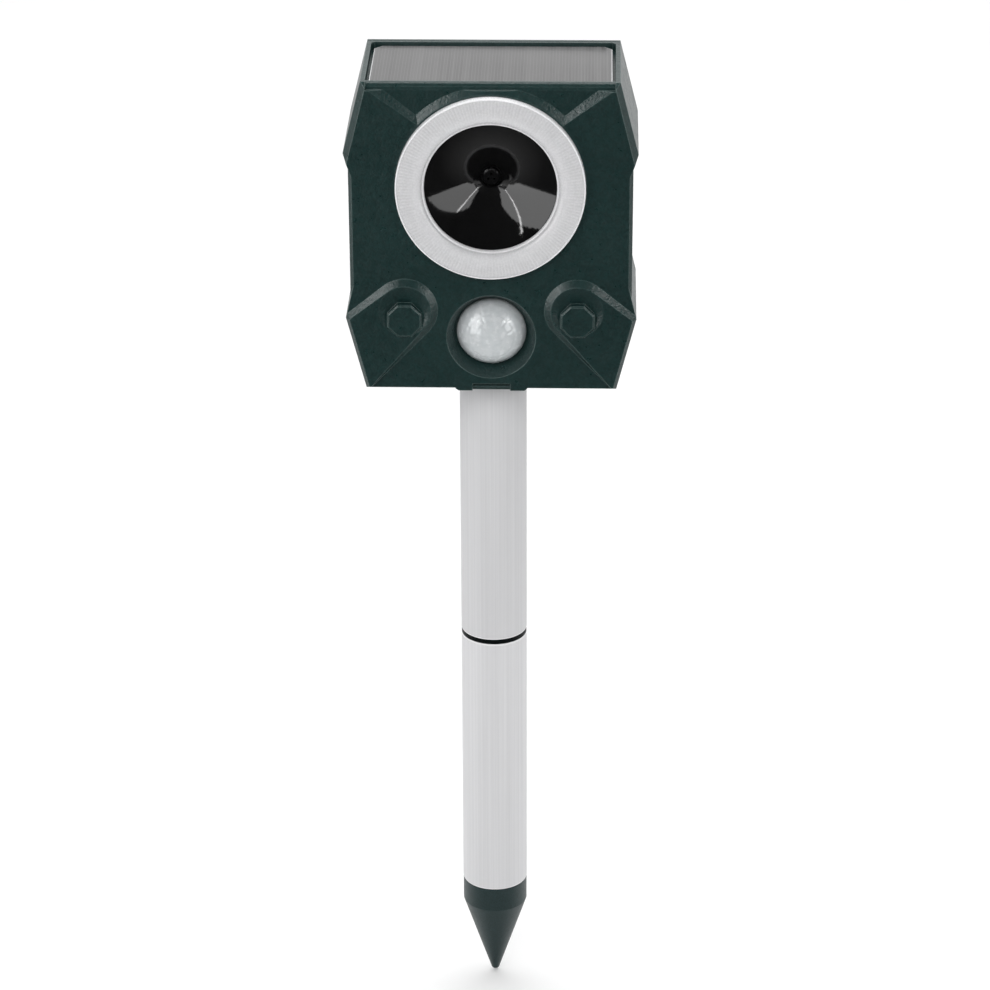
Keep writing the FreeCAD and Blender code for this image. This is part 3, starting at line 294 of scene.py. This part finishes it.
def ring_mat(name):
    """Milky diffuser: painted shade in the grooves of the moulded radial flutes, and at the inner lip and outer bead a
    painted highlight beside a band of painted shade.
    """
    mt, nt, bs = new_mat(name)
    tc = nt.nodes.new("ShaderNodeTexCoord")
    sep = nt.nodes.new("ShaderNodeSeparateXYZ")
    nt.links.new(tc.outputs["Object"], sep.inputs[0])
    dz = math_node(nt, "SUBTRACT", sep.outputs[2], 0.2968)
    rr = math_node(nt, "SQRT", math_node(nt, "ADD", math_node(nt, "MULTIPLY", sep.outputs[0], sep.outputs[0]), math_node(nt, "MULTIPLY", dz, dz)))
    ang = math_node(nt, "ARCTAN2", dz, sep.outputs[0])
    wave = math_node(nt, "MULTIPLY", math_node(nt, "COSINE", math_node(nt, "MULTIPLY", ang, 168.0)), 0.5)
    wave = math_node(nt, "ADD", wave, 0.5)
    n1 = nt.nodes.new("ShaderNodeTexNoise")
    n1.noise_dimensions = "1D"
    n1.inputs["Scale"].default_value = 26.0
    n1.inputs["Detail"].default_value = 5.0
    n1.inputs["Roughness"].default_value = 0.7
    nt.links.new(ang, n1.inputs["W"])
    # flutes fade in over the outer part of the face
    rm = math_node(nt, "MULTIPLY", rr, 20.0)
    where = ramp(nt, rm, [(0.535, 0.25), (0.60, 1.0), (0.664, 1.0), (0.672, 0.0)])
    # painted shade along the flute grooves, with random tone along the angle
    flute_shade_and_tone = math_node(nt, "MULTIPLY", math_node(nt, "ADD", math_node(nt, "MULTIPLY", wave, 0.075), math_node(nt, "MULTIPLY", n1.outputs["Fac"], 0.10)), where)
    tone = math_node(nt, "SUBTRACT", 1.0, flute_shade_and_tone)
    # painted highlight on the inner lip with painted shade just outside it; painted shade just inside the outer bead
    # with a painted highlight on it
    lip = ramp(nt, rm, [(0.487, 1.22), (0.494, 0.86), (0.505, 0.97), (0.53, 1.0)])
    bead = ramp(nt, rm, [(0.666, 1.0), (0.672, 0.88), (0.676, 1.30)])
    soft = ramp(nt, noise(nt, coords(nt), 240.0, 4.0, 0.6), [(0.3, (0.655, 0.655, 0.668)), (0.7, (0.69, 0.69, 0.703))])
    col = mix_rgb(nt, 1.0, soft, tone, "MULTIPLY")
    col = mix_rgb(nt, 1.0, col, lip, "MULTIPLY")
    col = mix_rgb(nt, 1.0, col, bead, "MULTIPLY")
    nt.links.new(col, bs.inputs["Base Color"])
    fine = noise(nt, coords(nt), 1500.0, 2.0, 0.5)
    nt.links.new(ramp(nt, fine, [(0.3, 0.22), (0.7, 0.32)]), bs.inputs["Roughness"])
    bs.inputs["Subsurface Weight"].default_value = 0.12
    bs.inputs["Subsurface Radius"].default_value = (1.0, 1.0, 1.0)
    bs.inputs["Subsurface Scale"].default_value = 0.0008
    bs.inputs["Specular IOR Level"].default_value = 0.5
    bump(nt, bs, fine, 0.08, 0.00004)
    return mt


m_ring = ring_mat("RingDiffuser")
m_lens = milky("LensMilky", (0.545, 0.58, 0.592), (0.635, 0.66, 0.672), rough=(0.2, 0.3), sss=0.15, radius=0.0010, scale=420.0, coat=1.0)
m_seal = simple("SealBlack", (0.012, 0.012, 0.012), 0.7, spec=0.3)
m_steel = simple("ScrewSteel", (0.55, 0.55, 0.56), 0.32, metallic=1.0, scale=900)
# the pale edge colour below is a painted highlight along the knob's edges
m_knob = plastic("KnobBlack", (0.012, 0.013, 0.013), (0.02, 0.021, 0.021), rough=(0.4, 0.55), spec=0.4, grain=1800.0, strength=0.25,
                 painted_edge_highlight=(0.06, 0.06, 0.06), edge=0.0003)
m_flap = plastic("FlapRubber", (0.010, 0.013, 0.013), (0.016, 0.019, 0.019), rough=(0.6, 0.75), spec=0.25, grain=1500.0, strength=0.3, edge=0.0003)
m_mark = simple("MarkWhite", (0.62, 0.63, 0.62), 0.5, scale=1800.0, amount=0.1)
m_board = simple("BoardGreen", (0.015, 0.11, 0.045), 0.35, spec=0.5)
m_black = simple("ComponentBlack", (0.02, 0.02, 0.02), 0.5)
m_white = simple("RetainerWhite", (0.6, 0.6, 0.58), 0.5)
m_led = simple("LedClear", (0.85, 0.83, 0.62), 0.15, coat=0.5)
m_batt = simple("BatteryBlue", (0.03, 0.10, 0.30), 0.3, coat=0.3)
m_lead = simple("LeadRed", (0.35, 0.03, 0.03), 0.45)

for n in ("front_shell", "rear_cover"):
    set_mat(n, m_shell)
set_mat("spike", m_spike)
for n in ("coupler", "stake_adapter"):
    set_mat(n, m_trim)
set_mat("lower_tube", m_alu_low)
set_mat("upper_tube", m_alu_up)
for n in ("horn", "phase_plug"):
    set_mat(n, m_horn)
set_mat("light_ring", m_ring)
set_mat("pir_lens", m_lens)
for n in ("housing_seal", "panel_seal", "knob_seals"):
    set_mat(n, m_seal)
for n in ("housing_screws", "horn_screws", "board_screws", "control_screws", "usb_port", "pir_sensor", "battery_contacts"):
    set_mat(n, m_steel)
for n in ("mode_knob", "sensitivity_knob"):
    set_mat(n, m_knob)
set_mat("port_cover", m_flap)
for n in ("main_board", "control_board", "charge_board", "led_board", "pir_board"):
    set_mat(n, m_board)
for n in ("board_components", "mode_switch", "sensitivity_pot", "tweeter_driver", "battery_cradle"):
    set_mat(n, m_black)
set_mat("pir_retainer", m_white)
set_mat("leds", m_led)
set_mat("battery_cell", m_batt)
set_mat("internal_leads", m_lead)


def panel_mat(name):
    """Laminated cell: grey silicon under clear resin, with fine grid lines running front to back."""
    mt, nt, bs = new_mat(name)
    tc = nt.nodes.new("ShaderNodeTexCoord")
    sep = nt.nodes.new("ShaderNodeSeparateXYZ")
    nt.links.new(tc.outputs["Object"], sep.inputs[0])
    # fine fingers every 1.15 mm, and uneven streaks between them
    w = math_node(nt, "FRACT", math_node(nt, "MULTIPLY", sep.outputs[0], 1 / 0.00115))
    tri = math_node(nt, "ABSOLUTE", math_node(nt, "SUBTRACT", w, 0.5))
    line = ramp(nt, tri, [(0.36, 0.0), (0.46, 0.55)])
    streak = noise(nt, coords(nt, (620, 5, 5)), 1.0, 3.0, 0.7)
    slow = noise(nt, coords(nt, (60, 12, 12)), 1.0, 2.0, 0.5)
    base = ramp(nt, streak, [(0.3, (0.082, 0.081, 0.082)), (0.7, (0.125, 0.124, 0.125))])
    base = mix_rgb(nt, 1.0, base, ramp(nt, slow, [(0.35, 0.93), (0.65, 1.03)]), "MULTIPLY")
    col = mix_rgb(nt, line, base, (0.175, 0.175, 0.175))
    nt.links.new(col, bs.inputs["Base Color"])
    nt.links.new(ramp(nt, streak, [(0.3, 0.30), (0.7, 0.38)]), bs.inputs["Roughness"])
    bs.inputs["Specular IOR Level"].default_value = 0.5
    bs.inputs["Coat Weight"].default_value = 0.12
    bs.inputs["Coat Roughness"].default_value = 0.12
    return mt


m_panel = panel_mat("SolarCell")
set_mat("solar_panel", m_panel)

# ------------------------------------------------------------------ pieces
def V3(x, y, z):
    return (x * MM, y * MM, z * MM)


def finish_mesh(name, verts, faces, mt, body, sharp=32.0, extra=()):
    me = bpy.data.meshes.new(name)
    me.from_pydata(verts, [], faces)
    me.validate()
    me.materials.append(mt)
    for x in extra:
        me.materials.append(x)
    bm = bmesh.new()
    bm.from_mesh(me)
    bmesh.ops.remove_doubles(bm, verts=bm.verts, dist=1e-7)
    bmesh.ops.recalc_face_normals(bm, faces=bm.faces)
    for f in bm.faces:
        f.smooth = True
    lim = math.radians(sharp)
    for e in bm.edges:
        if len(e.link_faces) == 2 and e.calc_face_angle(0.0) > lim:
            e.smooth = False
    bm.to_mesh(me)
    bm.free()
    o = bpy.data.objects.new(name, me)
    scene.collection.objects.link(o)
    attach(o, body)
    return o


def lathe(prof, seg, cx, cz, closed=True, wobble=None):
    """Turn (radius, y) points about a Y axis through (cx, cz); radius 0 closes to one point."""
    verts, faces, rows = [], [], []
    for k, (r, y) in enumerate(prof):
        if r < 1e-6:
            rows.append([len(verts)] * seg)
            verts.append(V3(cx, y, cz))
            continue
        row = []
        for i in range(seg):
            a = 2 * math.pi * i / seg
            dr, dy = wobble(r, y, a) if wobble else (0.0, 0.0)
            row.append(len(verts))
            verts.append(V3(cx + (r + dr) * math.cos(a), y + dy, cz + (r + dr) * math.sin(a)))
        rows.append(row)
    n = len(rows)
    for k in range(n if closed else n - 1):
        a, b = rows[k], rows[(k + 1) % n]
        for i in range(seg):
            j = (i + 1) % seg
            q = []
            for x in (a[i], a[j], b[j], b[i]):
                if x not in q:
                    q.append(x)
            if len(q) > 2:
                faces.append(q)
    return verts, faces


RING_Z, PIR_Z = 296.8, 239.1

# light ring: rolled inner edge, thin bead round the outside, fine radial flutes
FLUTES = 168


def flute(r, y, a):
    if y > -26.2 or r < 26.5 or r > 33.4:
        return 0.0, 0.0
    w = min(1.0, (r - 26.5) / 3.5) * min(1.0, (33.35 - r) / 0.25)
    return 0.0, 0.075 * w * (0.5 - 0.5 * math.cos(a * FLUTES))


ring_prof = [(23.85, -23.95), (23.87, -24.6), (23.95, -24.95), (24.12, -25.28), (24.32, -25.42), (24.52, -25.44), (24.66, -25.4), (24.8, -25.62), (25.1, -26.05), (25.55, -26.4), (26.2, -26.72), (27.0, -26.94),
             (28.0, -26.99), (29.0, -26.97), (30.2, -26.91), (31.2, -26.85), (32.2, -26.76), (33.0, -26.69), (33.3, -26.66), (33.42, -26.67),
             (33.55, -26.84), (33.72, -26.9), (33.9, -26.89), (34.06, -26.78), (34.17, -26.6), (34.2, -26.35), (34.2, -22.45), (32.7, -22.45),
             (32.7, -25.2), (26.5, -25.2), (26.5, -22.45), (25.45, -22.45), (25.45, -23.95)]
vs, fs = lathe(ring_prof, FLUTES * 6, 0, RING_Z, wobble=flute)
ring = finish_mesh("RingDiffuserMesh", vs, fs, m_ring, "head", sharp=40)
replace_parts(ring, "light_ring")

# sensor lens: milky dome whose moulded cells show as shallow facets
def three_arc(p, q, r, n):
    (ax, ay), (bx, by), (cx, cy) = p, q, r
    d = 2 * (ax * (by - cy) + bx * (cy - ay) + cx * (ay - by))
    ux = ((ax * ax + ay * ay) * (by - cy) + (bx * bx + by * by) * (cy - ay) + (cx * cx + cy * cy) * (ay - by)) / d
    uy = ((ax * ax + ay * ay) * (cx - bx) + (bx * bx + by * by) * (ax - cx) + (cx * cx + cy * cy) * (bx - ax)) / d
    R = math.hypot(ax - ux, ay - uy)
    a0, a1 = math.atan2(ay - uy, ax - ux), math.atan2(cy - uy, cx - ux)
    return [(ux + R * math.cos(a0 + (a1 - a0) * i / n), uy + R * math.sin(a0 + (a1 - a0) * i / n)) for i in range(n + 1)], (ux, uy, R)


dome, (dux, duy, dR) = three_arc((0, -26.1), (7.1, -24.3), (12.66, -18.4), 44)
CELLS = [(0.0, 2.3, 1), (2.3, 5.4, 6), (5.4, 8.6, 11), (8.6, 11.6, 16)]


def cells(r, y, a):
    """Each cell swells a little from its own border, like the segments of a moulded dome."""
    if y > -19.2 or r < 1e-4:
        return 0.0, 0.0
    for r0, r1, n in CELLS:
        if r0 <= r < r1:
            u = (r - r0) / (r1 - r0)
            if n == 1:
                e = 1 - (r / r1) ** 2
            else:
                w = (a / (2 * math.pi) * n + (0.5 if n % 2 else 0.0)) % 1.0
                e = min(1.0, 4 * u * (1 - u) * 1.4) * min(1.0, 4 * w * (1 - w) * 1.4)
            h = 0.085 * e
            nx, ny = (r - dux) / dR, (y - duy) / dR
            return h * nx, h * ny
    return 0.0, 0.0


skin = [(max(r - 0.95 * (r - dux) / dR, 0.0), y - 0.95 * (y - duy) / dR) for r, y in reversed(dome[:-4])]
skin[-1] = (0.0, skin[-1][1])
lens_prof = dome + [(12.66, -17.0), (12.66, -15.5), (14.4, -15.5), (14.4, -14.5), (11.7, -14.5), (11.7, -17.6)] + skin
vs, fs = lathe(lens_prof, 176, 0, PIR_Z, closed=False, wobble=cells)
lens = finish_mesh("SensorLensMesh", vs, fs, m_lens, "head", sharp=50)
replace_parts(lens, "pir_lens")

# pole tubes: cut ends broken by a small radius inside and out
def tube_mesh(name, z0, z1, mt, body):
    ro, ri = 12.5, 11.3
    prof = [(ro - 0.5, z0), (ro - 0.3, z0 + 0.04), (ro - 0.12, z0 + 0.15), (ro - 0.03, z0 + 0.32), (ro, z0 + 0.5)]
    prof += [(ro, z0 + (z1 - z0) * k / 12.0) for k in range(1, 12)]
    prof += [(ro, z1 - 0.5), (ro - 0.03, z1 - 0.32), (ro - 0.12, z1 - 0.15), (ro - 0.3, z1 - 0.04), (ro - 0.5, z1),
             (ri + 0.2, z1), (ri, z1 - 0.2), (ri, z0 + 0.2), (ri + 0.2, z0)]
    v, f = lathe(prof, 144, 0, 0)
    v = [(a, c, b) for a, b, c in v]
    return finish_mesh(name, v, f, mt, body, sharp=50)


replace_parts(tube_mesh("LowerTubeMesh", 0.0, 107.86, m_alu_low, "ground_stake"), "lower_tube")
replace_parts(tube_mesh("UpperTubeMesh", 109.7, 215.4, m_alu_up, "mast"), "upper_tube")

# solar laminate: clear resin over the cell, its softened resin edges painted pale as a painted highlight
m_resin_highlight = simple("ResinEdgePaintedHighlight", (0.66, 0.67, 0.68), 0.22, spec=0.5, scale=900.0, amount=0.06, coat=0.3)


def laminate():
    z0, z1 = 333.1, 334.9
    base = [(43.4, 18.6), (40.6, 21.6), (-40.6, 21.6), (-43.4, 18.6), (-43.4, -20.35), (43.4, -20.35)]
    cx, cy = 0.0, 0.6

    def ring_at(d, z):
        out = []
        for x, y in base:
            out.append(V3(x - math.copysign(d, x), y - math.copysign(d, y - cy), z))
        return out
    rows = [ring_at(0.12, z0), ring_at(0.0, z0 + 0.15), ring_at(0.0, z1 - 0.42), ring_at(0.06, z1 - 0.2), ring_at(0.2, z1 - 0.06), ring_at(0.42, z1)]
    verts = [p for r in rows for p in r]
    n = len(base)
    faces, mats = [], []
    for k in range(len(rows) - 1):
        for i in range(n):
            j = (i + 1) % n
            faces.append([k * n + i, k * n + j, (k + 1) * n + j, (k + 1) * n + i])
    faces.append(list(range(n))[::-1])
    top = [(len(rows) - 1) * n + i for i in range(n)]
    faces.append(top)
    return verts, faces, len(faces) - 1


vs, fs, top_i = laminate()
pan = finish_mesh("SolarLaminate", vs, fs, m_panel, "head", sharp=30, extra=(m_resin_highlight,))
zmax = max(v.co.z for v in pan.data.vertices)
for p in pan.data.polygons:
    flat_top = all(abs(pan.data.vertices[v].co.z - zmax) < 1e-7 for v in p.vertices)
    # every face but the flat top takes the pale painted-highlight colour
    p.material_index = 0 if flat_top else 1
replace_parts(pan, "solar_panel")


# dial marks: raised plain numbers for the mode knob, growing ticks for the sensitivity knob
def stadium(cx, cz, ang, length, width, y0, y1, inset=0.08):
    """A rounded bar on the rear face, its length along ang from +Z towards +X."""
    verts, faces = [], []
    n = 6
    s, c = math.sin(ang), math.cos(ang)

    def row(d, y):
        out = []
        w = width / 2 - d
        h = length / 2 - width / 2
        for i in range(n + 1):
            t = math.pi * i / n
            out.append((w * math.cos(t), h + w * math.sin(t)))
        for i in range(n + 1):
            t = math.pi + math.pi * i / n
            out.append((w * math.cos(t), -h + w * math.sin(t)))
        return [V3(cx + u * c + v * s, y, cz - u * s + v * c) for u, v in out]
    rows = [row(0.0, y0), row(0.0, y1 - inset), row(inset, y1)]
    for r in rows:
        verts += r
    m = len(rows[0])
    for k in range(2):
        for i in range(m):
            j = (i + 1) % m
            faces.append([k * m + i, k * m + j, (k + 1) * m + j, (k + 1) * m + i])
    faces.append(list(range(m)))
    faces.append([2 * m + i for i in range(m)][::-1])
    return verts, faces


def merge(parts_):
    verts, faces = [], []
    for v, f in parts_:
        k = len(verts)
        verts += v
        faces += [[i + k for i in q] for q in f]
    return verts, faces


KX, KZ = 20.0, 300.0
ticks = []
for i in range(11):
    th = math.radians(-135 + 27 * i)
    ln = 0.9 + 0.16 * i
    r = 12.9 + ln / 2
    ticks.append(stadium(KX + r * math.sin(th), KZ + r * math.cos(th), th, ln + 0.5, 0.55, 27.25, 27.45))
vs, fs = merge(ticks)
finish_mesh("SensitivityScale", vs, fs, m_mark, "head")
mticks = []
for i in range(6):
    th = math.radians(45 * i)
    mticks.append(stadium(-KX + 13.0 * math.sin(th), KZ + 13.0 * math.cos(th), th, 1.3, 0.5, 27.25, 27.45))
vs, fs = merge(mticks)
finish_mesh("ModeTicks", vs, fs, m_mark, "head")
for i in range(6):
    cu = bpy.data.curves.new("ModeNumeral%d" % i, "FONT")
    cu.body = str(i)
    cu.size = 0.0034
    cu.align_x = "CENTER"
    cu.align_y = "CENTER"
    cu.extrude = 0.00009
    cu.bevel_depth = 0.00003
    cu.bevel_resolution = 1
    tmp = bpy.data.objects.new("tmp_text", cu)
    me = bpy.data.meshes.new_from_object(tmp)
    bpy.data.objects.remove(tmp)
    th = math.radians(45 * i)
    cxn, czn = -KX + 15.7 * math.sin(th), KZ + 15.7 * math.cos(th)
    xs = [v.co.x for v in me.vertices]
    ys = [v.co.y for v in me.vertices]
    mx, my = (min(xs) + max(xs)) / 2, (min(ys) + max(ys)) / 2
    verts = [(cxn * MM - (v.co.x - mx), 27.36 * MM + v.co.z, czn * MM + (v.co.y - my)) for v in me.vertices]
    faces = [list(p.vertices) for p in me.polygons]
    finish_mesh("ModeNumeral%dMesh" % i, verts, faces, m_mark, "head")

# white pointer line let into each knob's finger bar
for nm, x, bd in (("ModePointer", -KX, "mode_knob"), ("SensitivityPointer", KX, "sensitivity_knob")):
    vs, fs = stadium(x, KZ + 4.6, 0.0, 5.2, 0.8, 33.9, 34.08, inset=0.05)
    finish_mesh(nm, vs, fs, m_mark, bd)


# rear screws: domed heads with a cross recess
def cross_screws():
    cx_, cz0, cz1 = 42.6, 236.0, 321.0
    prof = [(0.0, 27.2), (0.8, 27.17), (1.5, 27.05), (2.1, 26.84), (2.5, 26.55), (2.7, 26.25), (2.7, 26.1), (1.1, 26.1), (1.1, 14.0), (0.6, 13.0), (0.0, 13.0)]
    out = []
    for x, z in ((cx_, cz1), (cx_, cz0), (-cx_, cz1), (-cx_, cz0)):
        v, f = lathe(prof, 40, x, z, closed=False)
        out.append((v, f))
    v, f = merge(out)
    o = finish_mesh("RearScrews", v, f, m_steel, "head", sharp=35)
    cutv = []
    for k, (x, z) in enumerate(((cx_, cz1), (cx_, cz0), (-cx_, cz1), (-cx_, cz0))):
        t = 0.5 + 0.9 * k
        s, c = math.sin(t), math.cos(t)
        for a in (0.0, math.pi / 2):
            ca, sa = math.cos(t + a), math.sin(t + a)
            quad = []
            for y, hl, hw in ((27.6, 1.75, 0.42), (26.35, 0.7, 0.26)):
                for u, w in ((-hl, -hw), (hl, -hw), (hl, hw), (-hl, hw)):
                    quad.append(V3(x + u * ca - w * sa, y, z + u * sa + w * ca))
            cutv.append((quad, [[0, 1, 2, 3], [7, 6, 5, 4], [0, 4, 5, 1], [1, 5, 6, 2], [2, 6, 7, 3], [3, 7, 4, 0]]))
    for v, f in cutv:
        me = bpy.data.meshes.new("cross")
        me.from_pydata(v, [], f)
        bm = bmesh.new()
        bm.from_mesh(me)
        bmesh.ops.recalc_face_normals(bm, faces=bm.faces)
        bm.to_mesh(me)
        bm.free()
        tool = bpy.data.objects.new("cross_tool", me)
        scene.collection.objects.link(tool)
        md = o.modifiers.new("cut", "BOOLEAN")
        md.object = tool
        md.operation = "DIFFERENCE"
        md.solver = "EXACT"
        dg = bpy.context.evaluated_depsgraph_get()
        new = bpy.data.meshes.new_from_object(o.evaluated_get(dg))
        o.modifiers.clear()
        old = o.data
        o.data = new
        bpy.data.meshes.remove(old)
        bpy.data.objects.remove(tool)
    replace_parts(o, "housing_screws")
    return o


cross_screws()

# ------------------------------------------------------------------- stage
floor_mesh = bpy.data.meshes.new("Floor")
floor_mesh.from_pydata([(-6, -6, -0.0437), (6, -6, -0.0437), (6, 6, -0.0437), (-6, 6, -0.0437)], [], [(0, 1, 2, 3)])
floor = bpy.data.objects.new("Floor", floor_mesh)
scene.collection.objects.link(floor)
fm, nt, bs = new_mat("FloorPale")
n = noise(nt, coords(nt), 6.0, 2.0, 0.5)
nt.links.new(ramp(nt, n, [(0.3, 0.90), (0.7, 0.92)]), bs.inputs["Base Color"])
bs.inputs["Roughness"].default_value = 0.9
bs.inputs["Specular IOR Level"].default_value = 0.0
floor_mesh.materials.append(fm)
floor.visible_glossy = False
floor.visible_shadow = False

world = bpy.data.worlds.new("World")
scene.world = world
world.use_nodes = True
nt = world.node_tree
nt.nodes.clear()
wo = nt.nodes.new("ShaderNodeOutputWorld")
bg = nt.nodes.new("ShaderNodeBackground")
nt.links.new(bg.outputs[0], wo.inputs[0])
tc = nt.nodes.new("ShaderNodeTexCoord")
sep = nt.nodes.new("ShaderNodeSeparateXYZ")
nt.links.new(tc.outputs["Generated"], sep.inputs[0])
fac = math_node(nt, "ADD", math_node(nt, "MULTIPLY", sep.outputs[1], 0.5), 0.5)
col = ramp(nt, fac, [(0.0, 0.02), (0.25, 0.06), (0.42, 0.38), (0.5, 0.70), (0.7, 0.88)])
nt.links.new(col, bg.inputs["Color"])
bg.inputs["Strength"].default_value = 1.0


def area(name, loc, target, size, power, glossy=True, spread=180.0, diffuse=True):
    ld = bpy.data.lights.new(name, "AREA")
    ld.shape = "RECTANGLE"
    ld.size, ld.size_y = size
    ld.energy = power
    ld.spread = math.radians(spread)
    lo = bpy.data.objects.new(name, ld)
    scene.collection.objects.link(lo)
    d = Vector(target) - Vector(loc)
    lo.location = loc
    lo.rotation_euler = d.to_track_quat("-Z", "Y").to_euler()
    lo.visible_camera = False
    lo.visible_glossy = glossy
    lo.visible_diffuse = diffuse
    return lo


area("SoftLeft", (-0.556, -0.458, 0.50), (0, 0, 0.50), (0.45, 0.80), 3.3, diffuse=False)
area("SideLeft", (-0.556, -0.458, 0.50), (0, 0, 0.30), (0.45, 0.80), 0.8, glossy=False)
area("SoftRight", (0.575, -0.433, 0.385), (0, 0, 0.385), (0.32, 0.51), 1.28, diffuse=False)
area("SideRight", (0.575, -0.433, 0.42), (0, 0, 0.30), (0.32, 0.58), 0.75, glossy=False)


def strip(name, target, d1, d2, dist, width, power):
    """Thin bar light between two directions (azimuth from the front, elevation) seen from the target."""
    pts = []
    for az, el in (d1, d2):
        az, el = math.radians(az), math.radians(el)
        pts.append(Vector(target) + dist * Vector((math.sin(az) * math.cos(el), -math.cos(az) * math.cos(el), math.sin(el))))
    mid = (pts[0] + pts[1]) / 2
    back = (mid - Vector(target)).normalized()
    xax = (pts[1] - pts[0]).normalized()
    xax = (xax - back * xax.dot(back)).normalized()
    yax = back.cross(xax)
    li = bpy.data.lights.new(name, "AREA")
    li.shape = "RECTANGLE"
    li.size = (pts[1] - pts[0]).length
    li.size_y = width
    li.energy = power
    o = bpy.data.objects.new(name, li)
    scene.collection.objects.link(o)
    o.matrix_world = Matrix(((xax.x, yax.x, back.x, mid.x), (xax.y, yax.y, back.y, mid.y), (xax.z, yax.z, back.z, mid.z), (0, 0, 0, 1)))
    o.visible_camera = False
    return o


strip("SeamRight", (0, -0.022, 0.2968), (41, 14), (72, 21), 0.56, 0.013, 0.15)
strip("SeamLeft", (0, -0.022, 0.2968), (-27, 18.5), (-72, 19.5), 0.56, 0.013, 0.22)
area("FrontFill", (-0.25, -1.5, 1.5), (0, 0, 0.2), (1.3, 1.0), 14.9, glossy=False)
area("Overhead", (0, 1.0, 1.9), (0, 0.95, 0), (2.3, 2.1), 28.0)
